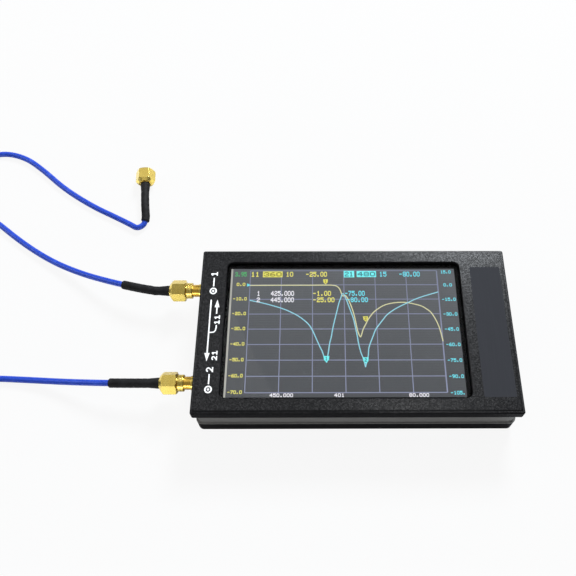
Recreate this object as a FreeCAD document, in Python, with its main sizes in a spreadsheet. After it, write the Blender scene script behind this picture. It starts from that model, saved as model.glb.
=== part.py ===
"""Handheld two-port antenna analyzer with its two coaxial test leads.

Millimetres, +Z up. The origin is the centre of the case's resting face: the screen looks up,
the long side lies along X, and the two ports face -X. Each piece is one object of the
document, bound to the Sizes sheet, and becomes one file in parts/.
"""

import FreeCAD, Part
import math
import os
import types

import Sketcher

Vector = FreeCAD.Vector
UP = Vector(0, 0, 1)
doc = FreeCAD.newDocument("antenna_analyzer")


# ---------------------------------------------------------------- driving sizes

SIZES = (
    # alias, millimetres, what it sets
    ("port_side_border", 6.3, "case beyond the display module, on the ports' side"),
    ("plain_side_border", 15.3, "case beyond the display module, on the far side from them"),
    ("long_side_border", 2.1, "case beyond the display module, on both long sides"),
    ("front_height", 4.5, "front cover, from the side frame to its top face"),
    ("frame_height", 10.0, "side frame between the two covers"),
    ("rear_height", 7.5, "rear cover, from the table to the side frame"),
    ("cover_corner", 0.8, "upright corners of the front cover"),
    ("corner_radius", 2.2, "upright corners of the side frame and rear cover"),
    ("edge_bevel", 0.6, "bevel round the front cover's top face"),
    ("foot_bevel", 0.6, "bevel round the rear cover's underside"),
    ("cover_wall", 1.6, "side walls of both covers"),
    ("front_top", 1.2, "front cover over the screen"),
    ("rear_floor", 1.5, "rear cover under the battery"),
    ("rear_inset", 0.5, "rear cover, in from the front cover's outline"),
    ("lip_inset", 0.5, "side frame's two lips, in from the same outline"),
    ("lip_height", 0.8, "side frame's two lips"),
    ("frame_inset", 1.2, "side frame between its lips, in from the same outline"),
    ("frame_wall", 2.0, "side frame's wall"),
    ("cove_radius", 0.5, "hollow corner between the side frame and its lips"),
    ("post_margin", 3.6, "case screws, in from the front cover's outline"),
    ("post_diameter", 4.6, "screw posts in the corners"),
    ("screw_diameter", 2.5, "case screw's shank"),
    ("screw_head", 4.5, "case screw's head"),
    ("screw_bite", 2.6, "case screw's thread in the front cover"),
    ("drive_width", 1.5, "drive recess in every screw head"),
    ("loose_fit", 0.15, "clearance round a part that drops in"),
    ("close_fit", 0.04, "clearance round a part that is fitted"),
    ("window_width", 97.0, "opening over the screen, left to right"),
    ("window_depth", 59.1, "opening over the screen, near to far"),
    ("window_shift_x", 0.2, "middle of the opening, from the display module's"),
    ("window_shift_y", 0.25, "middle of the opening, from the display module's"),
    ("window_radius", 2.5, "corners of the opening"),
    ("window_bevel", 0.3, "broken edge of the opening"),
    ("gasket_thickness", 0.3, "foam between cover and touch glass"),
    ("gasket_setback", 0.4, "foam, back from the opening's edge"),
    ("touch_border_x", 3.2, "touch glass beyond the opening, left and right"),
    ("touch_border_y", 3.25, "touch glass beyond the opening, near and far"),
    ("touch_thickness", 1.0, "touch glass"),
    ("module_border_x", 1.0, "display module's metal tray beyond the touch glass"),
    ("module_border_y", 0.6, "display module's metal tray beyond the touch glass"),
    ("module_height", 2.9, "display module's metal tray"),
    ("tray_rim_x", 2.2, "metal tray's rim beside the liquid crystal panel"),
    ("tray_rim_y", 1.7, "metal tray's rim before and behind the panel"),
    ("panel_thickness", 1.2, "liquid crystal panel"),
    ("rib_thickness", 1.0, "ribs beside the display module"),
    ("rib_length", 9.0, "ribs beside the display module"),
    ("ribbon_width", 20.0, "flat cable from the display"),
    ("ribbon_thickness", 0.2, "flat cable from the display"),
    ("ribbon_run", 2.2, "straight end of the flat cable"),
    ("port_height", 11.0, "axis of both ports above the table"),
    ("port_1_inset", 13.5, "axis of port 1, from the case's far side"),
    ("port_2_inset", 16.2, "axis of port 2, from the case's near side"),
    ("port_hole", 6.9, "hole in the side frame round each port"),
    ("board_thickness", 1.6, "main board"),
    ("board_gap", 0.3, "main board to side frame"),
    ("flange_side", 6.4, "square flange of a port jack"),
    ("flange_thickness", 1.7, "square flange of a port jack"),
    ("leg_length", 3.5, "soldered legs of a port jack"),
    ("leg_width", 1.0, "soldered legs of a port jack"),
    ("shoulder_diameter", 5.7, "port jack where it leaves the case"),
    ("shoulder_reach", 3.4, "port jack's shoulder beyond the side frame"),
    ("neck_diameter", 5.2, "port jack's neck"),
    ("neck_length", 2.8, "port jack's neck"),
    ("thread_diameter", 6.35, "port jack's outside thread"),
    ("thread_length", 6.9, "port jack's outside thread"),
    ("mouth_diameter", 4.66, "port jack's mouth"),
    ("mouth_length", 2.0, "port jack's mouth, in to the mating plane"),
    ("insulator_diameter", 4.1, "white insulator of jacks and plugs"),
    ("contact_diameter", 1.27, "port jack's centre contact"),
    ("contact_depth", 3.6, "socket in the centre contact"),
    ("tail_diameter", 0.76, "centre contact's tail on the board"),
    ("tail_length", 3.0, "centre contact's tail on the board"),
    ("pin_diameter", 0.92, "plug's centre pin"),
    ("pin_reach", 2.3, "plug's centre pin beyond the mating plane"),
    ("nut_flats", 8.0, "coupling nut across its flats"),
    ("nut_length", 6.8, "coupling nut"),
    ("nut_front", 2.2, "coupling nut beyond the mating plane"),
    ("nut_back_diameter", 6.0, "coupling nut's round back face"),
    ("nut_shoulder", 1.4, "coupling nut's turned shoulder"),
    ("nut_web", 1.7, "coupling nut's back wall"),
    ("collar_diameter", 5.7, "plug's collar inside the nut"),
    ("collar_thickness", 0.7, "plug's collar inside the nut"),
    ("barrel_diameter", 4.9, "plug's barrel through the nut"),
    ("barrel_reach", 0.3, "plug's barrel behind the nut"),
    ("ferrule_diameter", 3.6, "plug's ferrule on the cable"),
    ("ferrule_length", 5.6, "plug's ferrule on the cable"),
    ("ferrule_web", 1.7, "solid metal in front of the cable's end"),
    ("cable_diameter", 2.6, "coaxial cable over its jacket"),
    ("sleeve_diameter", 3.5, "shrink sleeve over the cable"),
    ("sleeve_flare", 4.2, "shrink sleeve over the ferrule"),
    ("sleeve_length", 22.3, "shrink sleeve"),
    ("coil_radius", 15.1, "lead 2's coil, to the middle of its turns"),
    ("coil_band", 5.4, "lead 2's coil, across its turns"),
    ("battery_width", 78.0, "battery, left to right"),
    ("battery_depth", 46.0, "battery, near to far"),
    ("battery_height", 5.4, "battery"),
    ("battery_tape", 0.3, "adhesive under the battery"),
    ("tape_margin", 4.0, "adhesive, in from the battery's edges"),
    ("socket_gap", 2.0, "power socket, away from the battery"),
    ("socket_width", 5.0, "power socket, left to right"),
    ("socket_depth", 7.0, "power socket, near to far"),
    ("socket_height", 4.2, "power socket under the board"),
    ("socket_y", -12.5, "middle of the power socket"),
    ("standoff_inset_x", 9.4, "board screws, in from the case screws"),
    ("standoff_inset_y", 4.9, "board screws, in from the case screws"),
    ("standoff_flats", 4.5, "board standoffs across their flats"),
    ("board_screw", 2.0, "board screw's shank"),
    ("board_screw_head", 3.8, "board screw's head"),
    ("board_screw_height", 1.4, "board screw's head"),
    ("board_screw_bite", 4.0, "board screw in its standoff"),
    ("can_height", 2.8, "screening cans on the board"),
    ("can_wall", 0.25, "screening cans' sheet"),
    ("can_length", 25.0, "screening cans, along the signal path"),
    ("can_side", 9.0, "screening cans, from a port's axis to the board's middle"),
    ("can_gap", 1.5, "screening cans behind a port's legs"),
    ("processor_side", 14.0, "square processor"),
    ("processor_x", -1.0, "middle of the processor"),
    ("memory_width", 11.0, "memory chip, left to right"),
    ("memory_depth", 10.0, "memory chip, near to far"),
    ("memory_x", 18.5, "middle of the memory chip"),
    ("chip_height", 1.4, "processor and memory"),
    ("usb_y", 8.0, "middle of the charging socket"),
    ("usb_width", 8.94, "charging socket's shell"),
    ("usb_height", 3.2, "charging socket's shell"),
    ("usb_depth", 7.4, "charging socket's shell"),
    ("usb_wall", 0.3, "charging socket's shell"),
    ("usb_back", 1.0, "charging socket's back wall"),
    ("tongue_width", 6.6, "charging socket's tongue"),
    ("tongue_thickness", 0.7, "charging socket's tongue"),
    ("tongue_setback", 0.8, "charging socket's tongue, in from its mouth"),
    ("usb_setback", 0.5, "charging socket, in from the side frame's face"),
    ("usb_clearance", 0.35, "side frame round the charging socket"),
    ("light_y", -4.0, "middle of the status light"),
    ("light_diameter", 2.0, "status light's pipe"),
    ("switch_x", 40.0, "middle of the power switch"),
    ("switch_width", 9.0, "power switch's housing"),
    ("switch_depth", 4.2, "power switch's housing"),
    ("switch_height", 3.4, "power switch's housing"),
    ("switch_wall", 0.6, "power switch's housing"),
    ("slider_width", 3.0, "power switch's knob"),
    ("slider_height", 1.5, "power switch's knob"),
    ("slider_reach", 1.0, "power switch's knob beyond the side frame"),
    ("slider_travel", 2.0, "power switch's stroke"),
    ("jog_x", 20.0, "middle of the jog switch"),
    ("jog_width", 11.0, "jog switch's housing"),
    ("jog_depth", 6.4, "jog switch's housing"),
    ("jog_height", 4.4, "jog switch's housing"),
    ("jog_wall", 0.6, "jog switch's housing"),
    ("jog_press", 0.5, "jog lever's inward stroke"),
    ("jog_pin", 1.2, "jog lever's pivot pin"),
    ("jog_knob_width", 4.2, "jog lever outside the case"),
    ("jog_knob_height", 1.8, "jog lever's thickness"),
    ("jog_reach", 2.6, "jog lever beyond the side frame"),
)


def as_size(value):
    """The value as a Size, whether it is one already or a plain number."""
    return value if isinstance(value, Size) else Size(value, "(%.6g)" % value)


class Size:
    """A length that knows its number now and its formula on the Sizes sheet."""

    def __init__(self, number, formula):
        self.number = float(number)
        self.formula = formula

    def __add__(self, other):
        other = as_size(other)
        return Size(self.number + other.number, "(%s + %s)" % (self.formula, other.formula))

    def __sub__(self, other):
        other = as_size(other)
        return Size(self.number - other.number, "(%s - %s)" % (self.formula, other.formula))

    def __mul__(self, other):
        other = as_size(other)
        return Size(self.number * other.number, "(%s * %s)" % (self.formula, other.formula))

    def __truediv__(self, other):
        other = as_size(other)
        return Size(self.number / other.number, "(%s / %s)" % (self.formula, other.formula))

    def __neg__(self):
        return Size(-self.number, "(-1 * %s)" % self.formula)

    def __radd__(self, other):
        return as_size(other) + self

    def __rsub__(self, other):
        return as_size(other) - self

    def __rmul__(self, other):
        return as_size(other) * self


def write_sheet():
    """The driving sizes as a spreadsheet: alias, number and note."""
    sheet = doc.addObject("Spreadsheet::Sheet", "Sizes")
    for row, (alias, number, note) in enumerate(SIZES, start=1):
        sheet.set("A%d" % row, alias)
        sheet.set("B%d" % row, str(number))
        sheet.set("C%d" % row, note)
        sheet.setAlias("B%d" % row, alias)
    doc.recompute()
    return types.SimpleNamespace(
        **{alias: Size(sheet.get(alias), "Sizes." + alias) for alias, number, note in SIZES}
    )


S = write_sheet()

# Levels and faces that several pieces share.
FRAME_LOW = S.rear_height
FRAME_TOP = S.rear_height + S.frame_height
CASE_TOP = FRAME_TOP + S.front_height
COVER_UNDERSIDE = CASE_TOP - S.front_top
TOUCH_TOP = COVER_UNDERSIDE - S.gasket_thickness
MODULE_TOP = TOUCH_TOP - S.touch_thickness
MODULE_LOW = MODULE_TOP - S.module_height
TOUCH_WIDTH = S.window_width + 2 * S.touch_border_x
TOUCH_DEPTH = S.window_depth + 2 * S.touch_border_y
MODULE_WIDTH = TOUCH_WIDTH + 2 * S.module_border_x
MODULE_DEPTH = TOUCH_DEPTH + 2 * S.module_border_y
CASE_WIDTH = MODULE_WIDTH + S.port_side_border + S.plain_side_border
CASE_DEPTH = MODULE_DEPTH + 2 * S.long_side_border
MODULE_X = (S.port_side_border - S.plain_side_border) / 2
MODULE_RIGHT = MODULE_X + MODULE_WIDTH / 2
WINDOW_X = MODULE_X + S.window_shift_x
PORT_1_Y = CASE_DEPTH / 2 - S.port_1_inset
PORT_2_Y = S.port_2_inset - CASE_DEPTH / 2
FRAME_FACE_X = CASE_WIDTH / 2 - S.frame_inset
FRAME_FACE_Y = CASE_DEPTH / 2 - S.frame_inset
FRAME_INSIDE_X = FRAME_FACE_X - S.frame_wall
FRAME_INSIDE_Y = FRAME_FACE_Y - S.frame_wall
HEAD_LOW = 2 * S.close_fit
POST_X = CASE_WIDTH / 2 - S.post_margin
POST_Y = CASE_DEPTH / 2 - S.post_margin
BOARD_TOP = S.port_height - S.tail_diameter / 2
BOARD_LOW = BOARD_TOP - S.board_thickness
BOARD_LEFT = -(FRAME_INSIDE_X - S.board_gap - S.flange_thickness)
BOARD_RIGHT = FRAME_INSIDE_X - S.board_gap
BOARD_HALF_DEPTH = FRAME_INSIDE_Y - S.board_gap
STANDOFF_X = POST_X - S.standoff_inset_x
STANDOFF_Y = POST_Y - S.standoff_inset_y

# Stations of a port and its plug along their own axis. Zero is the mating plane, and plus
# points out of the plug's mouth, which is into the case.
THREAD_END = S.thread_length - S.mouth_length
NECK_END = THREAD_END + S.neck_length
FLANGE_FRONT = NECK_END + S.shoulder_reach + S.frame_wall + S.board_gap
FLANGE_BACK = FLANGE_FRONT + S.flange_thickness
MATE_X = BOARD_LEFT - FLANGE_BACK
NUT_BACK = S.nut_front - S.nut_length
COLLAR_BACK = NUT_BACK + S.nut_web + 0.1
COLLAR_FRONT = COLLAR_BACK + S.collar_thickness
BARREL_BACK = NUT_BACK - S.barrel_reach
CABLE_END = BARREL_BACK - S.ferrule_web
FERRULE_BACK = BARREL_BACK - S.ferrule_length


# ---------------------------------------------------------------- building blocks

NODES = []


def keep(item, label):
    """Names a finished sub-part and adds it to those that are written out."""
    item.Label = label
    NODES.append(item)
    return item


def bind(item, name, size):
    """Ties one property to the sheet, or sets it where the size is a plain number."""
    size = as_size(size)
    item.setExpression(name, size.formula)


def origin_feature(body, role):
    return next(item for item in body.Origin.OriginFeatures if item.Role == role)


def pin_down(sketch, geometry, point, across, along):
    """Fixes a sketch point at two distances from the sketch's origin."""
    for kind, axis, size in (("DistanceX", -2, across), ("DistanceY", -1, along)):
        size = as_size(size)
        if size.number == 0:
            sketch.addConstraint(Sketcher.Constraint("PointOnObject", geometry, point, axis))
            continue
        number = sketch.addConstraint(
            Sketcher.Constraint(kind, -1, 1, geometry, point, size.number)
        )
        sketch.setExpression("Constraints[%d]" % number, size.formula)


def draw_polygon(sketch, corners):
    """A closed outline of straight lines through corners given as pairs of sizes."""
    corners = [(as_size(across), as_size(along)) for across, along in corners]
    places = [Vector(across.number, along.number, 0) for across, along in corners]
    first = sketch.GeometryCount
    count = len(corners)
    for index in range(count):
        line = Part.LineSegment(places[index], places[(index + 1) % count])
        sketch.addGeometry(line, False)
    for index in range(count):
        following = first + (index + 1) % count
        sketch.addConstraint(Sketcher.Constraint("Coincident", first + index, 2, following, 1))
    for index, (across, along) in enumerate(corners):
        pin_down(sketch, first + index, 1, across, along)


def draw_box(sketch, left, low, right, high):
    draw_polygon(sketch, ((left, low), (right, low), (right, high), (left, high)))


def draw_circle(sketch, across, along, diameter):
    across, along, radius = as_size(across), as_size(along), as_size(diameter) / 2
    number = sketch.addGeometry(
        Part.Circle(Vector(across.number, along.number, 0), UP, radius.number), False
    )
    pin_down(sketch, number, 3, across, along)
    constraint = sketch.addConstraint(Sketcher.Constraint("Radius", number, radius.number))
    sketch.setExpression("Constraints[%d]" % constraint, radius.formula)


def hexagon(flats, corner_angle):
    """Corners of a hexagon of that width across flats, the first at corner_angle degrees."""
    radius = flats / math.sqrt(3)
    angles = [math.radians(corner_angle + 60 * index) for index in range(6)]
    return [(radius * math.cos(angle), radius * math.sin(angle)) for angle in angles]


class Piece:
    """One PartDesign body, built feature by feature and kept under its label."""

    def __init__(self, label):
        self.label = label
        self.body = keep(doc.addObject("PartDesign::Body", label), label)

    def sketch(self, role="XY_Plane", offset=0):
        """An empty sketch on one of the body's own planes, moved along its normal."""
        sketch = self.body.newObject("Sketcher::SketchObject", self.label + "_sketch")
        sketch.AttachmentSupport = [(origin_feature(self.body, role), "")]
        sketch.MapMode = "FlatFace"
        bind(sketch, "AttachmentOffset.Base.z", offset)
        return sketch

    def volume(self):
        doc.recompute()
        return self.body.Shape.Volume if self.body.Tip else 0.0

    def feature(self, kind, sketch, grows):
        """Adds a sketched feature; the caller sets it up and then calls self.settle."""
        self.before = self.volume()
        self.grows = grows
        item = self.body.newObject("PartDesign::" + kind, self.label + "_" + kind.lower())
        item.Profile = sketch
        return item

    def settle(self):
        change = self.volume() - self.before
        if (change > 0) != self.grows or abs(change) < 1e-6:
            raise RuntimeError("%s: a feature changed the volume by %g" % (self.label, change))
        return self

    def pad(self, sketch, length, reverse=False):
        item = self.feature("Pad", sketch, True)
        item.Reversed = reverse
        bind(item, "Length", length)
        return self.settle()

    def pocket(self, sketch, depth, reverse=False):
        item = self.feature("Pocket", sketch, False)
        item.Reversed = reverse
        bind(item, "Length", depth)
        return self.settle()

    def turn(self, sketch, cut=False):
        """Turns the sketch about its horizontal axis, to add or to cut."""
        item = self.feature("Groove" if cut else "Revolution", sketch, not cut)
        item.ReferenceAxis = (sketch, ["H_Axis"])
        item.Angle = 360
        return self.settle()

    def dress(self, kind, chosen, name, size):
        """A fillet or chamfer on every edge that chosen(edge) picks."""
        doc.recompute()
        base = self.body.Tip
        names = [
            "Edge%d" % number
            for number, edge in enumerate(base.Shape.Edges, start=1)
            if chosen(edge)
        ]
        if not names:
            raise RuntimeError("%s: no edges for a %s" % (self.label, kind))
        item = self.body.newObject("PartDesign::" + kind, self.label + "_" + kind.lower())
        item.Base = (base, names)
        bind(item, name, size)
        doc.recompute()
        return self

    def fillet(self, chosen, radius):
        return self.dress("Fillet", chosen, "Radius", radius)

    def chamfer(self, chosen, size):
        return self.dress("Chamfer", chosen, "Size", size)

    def place(self, x, y, z, heading=0.0):
        """Moves the finished body; heading turns it about Z, in degrees."""
        x, y, z = as_size(x), as_size(y), as_size(z)
        self.body.Placement = FreeCAD.Placement(
            Vector(x.number, y.number, z.number), FreeCAD.Rotation(UP, heading)
        )
        for axis, size in zip("xyz", (x, y, z)):
            self.body.setExpression("Placement.Base." + axis, size.formula)
        return self


def near(a, b, slack=1e-4):
    return abs(a - b) < slack


def upright(edge, half_x=None, half_y=None):
    """True for a straight edge along Z, at the given distances from the middle if any."""
    box = edge.BoundBox
    if box.XLength > 1e-4 or box.YLength > 1e-4 or box.ZLength < 1e-3:
        return False
    fits_x = half_x is None or near(abs(box.Center.x), half_x.number)
    fits_y = half_y is None or near(abs(box.Center.y), half_y.number)
    return fits_x and fits_y


def rim_at(edge, level, half_x, half_y):
    """True for an edge at that level that runs along the outline of these half sizes."""
    box = edge.BoundBox
    if box.ZLength > 1e-4 or not near(box.Center.z, level.number):
        return False
    reach = 1.2 * S.corner_radius.number
    beside = max(abs(box.XMin), abs(box.XMax)) > half_x.number - reach / 10
    beyond = max(abs(box.YMin), abs(box.YMax)) > half_y.number - reach / 10
    return beside or beyond


def block(label, left, front, low, right, back, high):
    """A plain box between two corners, tied to the sheet."""
    item = keep(doc.addObject("Part::Box", label), label)
    for name, size in (
        ("Length", right - left),
        ("Width", back - front),
        ("Height", high - low),
        ("Placement.Base.x", left),
        ("Placement.Base.y", front),
        ("Placement.Base.z", low),
    ):
        bind(item, name, size)
    return item


def draw_corners(sketch, draw, x, y, *rest):
    """Draws the same thing at the four corners of a rectangle about the origin."""
    for side_x in (-1, 1):
        for side_y in (-1, 1):
            draw(sketch, x * side_x, y * side_y, *rest)


def cylinder(diameter, low, high, x, y):
    item = doc.addObject("Part::Cylinder", "round")
    bind(item, "Radius", diameter / 2)
    bind(item, "Height", high - low)
    bind(item, "Placement.Base.x", x)
    bind(item, "Placement.Base.y", y)
    bind(item, "Placement.Base.z", low)
    return item


def prism(circumradius, low, high, x, y):
    item = doc.addObject("Part::Prism", "hexagon")
    item.Polygon = 6
    bind(item, "Circumradius", circumradius)
    bind(item, "Height", high - low)
    bind(item, "Placement.Base.x", x)
    bind(item, "Placement.Base.y", y)
    bind(item, "Placement.Base.z", low)
    return item


def fused(first, second):
    item = doc.addObject("Part::Fuse", "fused")
    item.Base = first
    item.Tool = second
    return item


def cut(first, second):
    item = doc.addObject("Part::Cut", "cut")
    item.Base = first
    item.Tool = second
    return item


def grouped(label, items):
    """Identical loose solids that share one node."""
    group = keep(doc.addObject("Part::Compound", label), label)
    group.Links = items
    return group


# ---------------------------------------------------------------- the case


def front_cover():
    """Shallow lid with a bevelled top face, the screen window and four blind posts."""
    half_x, half_y = CASE_WIDTH / 2, CASE_DEPTH / 2
    piece = Piece("front_cover")
    outline = piece.sketch(offset=FRAME_TOP)
    draw_box(outline, -half_x, -half_y, half_x, half_y)
    piece.pad(outline, S.front_height)
    piece.fillet(lambda edge: upright(edge), S.cover_corner)
    piece.chamfer(lambda edge: rim_at(edge, CASE_TOP, half_x, half_y), S.edge_bevel)
    hollow = piece.sketch(offset=FRAME_TOP)
    inside_x, inside_y = half_x - S.cover_wall, half_y - S.cover_wall
    draw_box(hollow, -inside_x, -inside_y, inside_x, inside_y)
    piece.pocket(hollow, S.front_height - S.front_top, reverse=True)
    window = piece.sketch(offset=CASE_TOP)
    left, right = WINDOW_X - S.window_width / 2, WINDOW_X + S.window_width / 2
    near_side, far_side = S.window_shift_y - S.window_depth / 2, S.window_shift_y + S.window_depth / 2
    draw_box(window, left, near_side, right, far_side)
    piece.pocket(window, S.front_top)
    sides = (left.number, right.number)
    ends = (near_side.number, far_side.number)

    def window_corner(edge):
        middle = edge.BoundBox.Center
        beside = any(near(middle.x, side) for side in sides)
        return upright(edge) and beside and any(near(middle.y, end) for end in ends)

    def window_rim(edge):
        box = edge.BoundBox
        inside = abs(box.Center.x) < half_x.number - 2 and abs(box.Center.y) < half_y.number - 2
        return inside and box.ZLength < 1e-4 and near(box.Center.z, CASE_TOP.number)

    piece.fillet(window_corner, S.window_radius)
    piece.chamfer(window_rim, S.window_bevel)
    posts = piece.sketch(offset=FRAME_TOP)
    draw_corners(posts, draw_circle, POST_X, POST_Y, S.post_diameter)
    piece.pad(posts, S.front_height - S.front_top)
    holes = piece.sketch(offset=FRAME_TOP)
    draw_corners(holes, draw_circle, POST_X, POST_Y, S.screw_diameter + 2 * S.close_fit)
    piece.pocket(holes, S.screw_bite + 0.2, reverse=True)
    ribs = piece.sketch(offset=FRAME_TOP)
    rib_left = MODULE_RIGHT + S.loose_fit
    rib_far = MODULE_DEPTH / 2 - 2
    for side in (-1, 1):
        low, high = sorted((side * rib_far, side * (rib_far - S.rib_length)), key=number_of)
        draw_box(ribs, rib_left, low, rib_left + S.rib_thickness, high)
    piece.pad(ribs, S.front_height - S.front_top)


def number_of(size):
    return size.number


def side_frame():
    """Ring between the covers, waisted between two lips, with every opening of the case."""
    piece = Piece("side_frame")
    lip_x, lip_y = CASE_WIDTH / 2 - S.lip_inset, CASE_DEPTH / 2 - S.lip_inset
    waist = piece.sketch(offset=FRAME_LOW)
    draw_box(waist, -FRAME_FACE_X, -FRAME_FACE_Y, FRAME_FACE_X, FRAME_FACE_Y)
    piece.pad(waist, S.frame_height)
    piece.fillet(lambda edge: upright(edge), S.corner_radius)
    for level in (FRAME_LOW, FRAME_TOP - S.lip_height):
        lip = piece.sketch(offset=level)
        draw_box(lip, -lip_x, -lip_y, lip_x, lip_y)
        piece.pad(lip, S.lip_height)
    piece.fillet(lambda edge: upright(edge, lip_x, lip_y), S.corner_radius)

    def cove(edge):
        box = edge.BoundBox
        levels = (FRAME_LOW + S.lip_height, FRAME_TOP - S.lip_height)
        between = any(near(box.Center.z, level.number) for level in levels)
        waisted = (
            max(abs(box.XMin), abs(box.XMax)) < FRAME_FACE_X.number + 1e-3
            and max(abs(box.YMin), abs(box.YMax)) < FRAME_FACE_Y.number + 1e-3
        )
        return between and waisted and box.ZLength < 1e-4

    piece.fillet(cove, S.cove_radius)
    hollow = piece.sketch(offset=FRAME_TOP)
    draw_box(hollow, -FRAME_INSIDE_X, -FRAME_INSIDE_Y, FRAME_INSIDE_X, FRAME_INSIDE_Y)
    piece.pocket(hollow, S.frame_height)
    rebate = piece.sketch(offset=FRAME_TOP)
    room_x = MODULE_WIDTH / 2 + S.loose_fit
    room_y = MODULE_DEPTH / 2 + S.loose_fit
    draw_box(
        rebate, MODULE_X - room_x, -room_y, MODULE_X + room_x, room_y
    )
    piece.pocket(rebate, FRAME_TOP - MODULE_LOW)
    posts = piece.sketch(offset=FRAME_LOW)
    draw_corners(posts, draw_circle, POST_X, POST_Y, S.post_diameter)
    piece.pad(posts, S.frame_height)
    bores = piece.sketch(offset=FRAME_TOP)
    draw_corners(bores, draw_circle, POST_X, POST_Y, S.screw_diameter + 2 * S.loose_fit)
    piece.pocket(bores, S.frame_height)

    through = S.frame_inset + S.frame_wall + 0.4
    ports = piece.sketch("YZ_Plane", -CASE_WIDTH / 2)
    for port_y in (PORT_1_Y, PORT_2_Y):
        draw_circle(ports, port_y, S.port_height, S.port_hole)
    piece.pocket(ports, through, reverse=True)

    right_side = piece.sketch("YZ_Plane", CASE_WIDTH / 2)
    usb_half = S.usb_width / 2 + S.usb_clearance
    usb_low, usb_high = BOARD_TOP - S.usb_clearance, BOARD_TOP + S.usb_height + S.usb_clearance
    draw_box(right_side, S.usb_y - usb_half, usb_low, S.usb_y + usb_half, usb_high)
    piece.pocket(right_side, through)

    def usb_corner(edge):
        box = edge.BoundBox
        level = near(box.ZMax, usb_low.number) or near(box.ZMin, usb_high.number)
        beside = near(abs(box.Center.y - S.usb_y.number), usb_half.number)
        return box.YLength < 1e-4 and box.ZLength < 1e-4 and level and beside

    piece.fillet(usb_corner, S.usb_height / 2)
    light = piece.sketch("YZ_Plane", CASE_WIDTH / 2)
    draw_circle(light, S.light_y, LIGHT_HEIGHT, S.light_diameter + 2 * S.loose_fit)
    piece.pocket(light, through)

    far_side = piece.sketch("XZ_Plane", -CASE_DEPTH / 2)
    slot_half = S.slider_width / 2 + S.slider_travel / 2 + 2 * S.loose_fit
    slot_rise = S.slider_height / 2 + 2 * S.loose_fit
    draw_box(
        far_side,
        S.switch_x - slot_half,
        SWITCH_HEIGHT - slot_rise,
        S.switch_x + slot_half,
        SWITCH_HEIGHT + slot_rise,
    )
    jog_half = S.jog_knob_width / 2 + JOG_SWING + 2 * S.loose_fit
    jog_rise = S.jog_knob_height / 2 + 2 * S.loose_fit
    draw_box(
        far_side,
        S.jog_x - jog_half,
        JOG_HEIGHT - jog_rise,
        S.jog_x + jog_half,
        JOG_HEIGHT + jog_rise,
    )
    piece.pocket(far_side, through, reverse=True)


def rear_cover():
    """Tray under the side frame with countersunk screw posts."""
    half_x, half_y = CASE_WIDTH / 2 - S.rear_inset, CASE_DEPTH / 2 - S.rear_inset
    piece = Piece("rear_cover")
    outline = piece.sketch()
    draw_box(outline, -half_x, -half_y, half_x, half_y)
    piece.pad(outline, S.rear_height)
    piece.fillet(lambda edge: upright(edge), S.corner_radius)
    piece.chamfer(lambda edge: rim_at(edge, as_size(0), half_x, half_y), S.foot_bevel)
    hollow = piece.sketch(offset=S.rear_height)
    inside_x, inside_y = half_x - S.cover_wall, half_y - S.cover_wall
    draw_box(hollow, -inside_x, -inside_y, inside_x, inside_y)
    piece.pocket(hollow, S.rear_height - S.rear_floor)
    posts = piece.sketch(offset=S.rear_floor)
    draw_corners(posts, draw_circle, POST_X, POST_Y, S.post_diameter)
    piece.pad(posts, S.rear_height - S.rear_floor)
    holes = piece.sketch()
    draw_corners(holes, draw_circle, POST_X, POST_Y, S.screw_diameter)
    doc.recompute()
    before = piece.volume()
    item = piece.body.newObject("PartDesign::Hole", "rear_cover_hole")
    item.Profile = holes
    item.Threaded = False
    item.Reversed = True
    item.DepthType = "ThroughAll"
    item.HoleCutType = "Countersink"
    item.HoleCutCountersinkAngle = 90
    bind(item, "Diameter", S.screw_diameter + 2 * S.loose_fit)
    bind(item, "HoleCutDiameter", S.screw_head + 2 * HEAD_LOW + 2 * S.close_fit)
    if piece.volume() >= before:
        raise RuntimeError("rear_cover: the screw holes cut nothing")


def case_screws():
    """Four countersunk screws from the rear cover up into the front cover's posts."""
    head_rise = (S.screw_head - S.screw_diameter) / 2
    screws = []
    for side_x in (-1, 1):
        for side_y in (-1, 1):
            x, y = POST_X * side_x, POST_Y * side_y
            head = doc.addObject("Part::Cone", "screw_head")
            bind(head, "Radius1", S.screw_head / 2)
            bind(head, "Radius2", S.screw_diameter / 2)
            bind(head, "Height", head_rise)
            bind(head, "Placement.Base.x", x)
            bind(head, "Placement.Base.y", y)
            bind(head, "Placement.Base.z", HEAD_LOW)
            shank = cylinder(S.screw_diameter, HEAD_LOW, FRAME_TOP + S.screw_bite, x, y)
            drive = prism(S.drive_width / math.sqrt(3), HEAD_LOW - 0.1, HEAD_LOW + 0.9, x, y)
            screws.append(cut(fused(head, shank), drive))
    grouped("case_screws", screws)


# ---------------------------------------------------------------- the display


def window_gasket():
    """Foam frame between the front cover and the touch glass."""
    piece = Piece("window_gasket")
    frame = piece.sketch(offset=TOUCH_TOP)
    half_x, half_y = TOUCH_WIDTH / 2, TOUCH_DEPTH / 2
    draw_box(
        frame, MODULE_X - half_x, -half_y, MODULE_X + half_x, half_y
    )
    open_x = S.window_width / 2 + S.gasket_setback
    open_y = S.window_depth / 2 + S.gasket_setback
    draw_box(
        frame, WINDOW_X - open_x, S.window_shift_y - open_y, WINDOW_X + open_x, S.window_shift_y + open_y
    )
    piece.pad(frame, S.gasket_thickness)


def touch_glass():
    """Touch sensor's cover glass, seen through the window."""
    piece = Piece("touch_glass")
    outline = piece.sketch(offset=MODULE_TOP)
    half_x, half_y = TOUCH_WIDTH / 2, TOUCH_DEPTH / 2
    draw_box(
        outline,
        MODULE_X - half_x,
        -half_y,
        MODULE_X + half_x,
        half_y,
    )
    piece.pad(outline, S.touch_thickness)
    piece.fillet(lambda edge: upright(edge), S.cover_corner)


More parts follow.
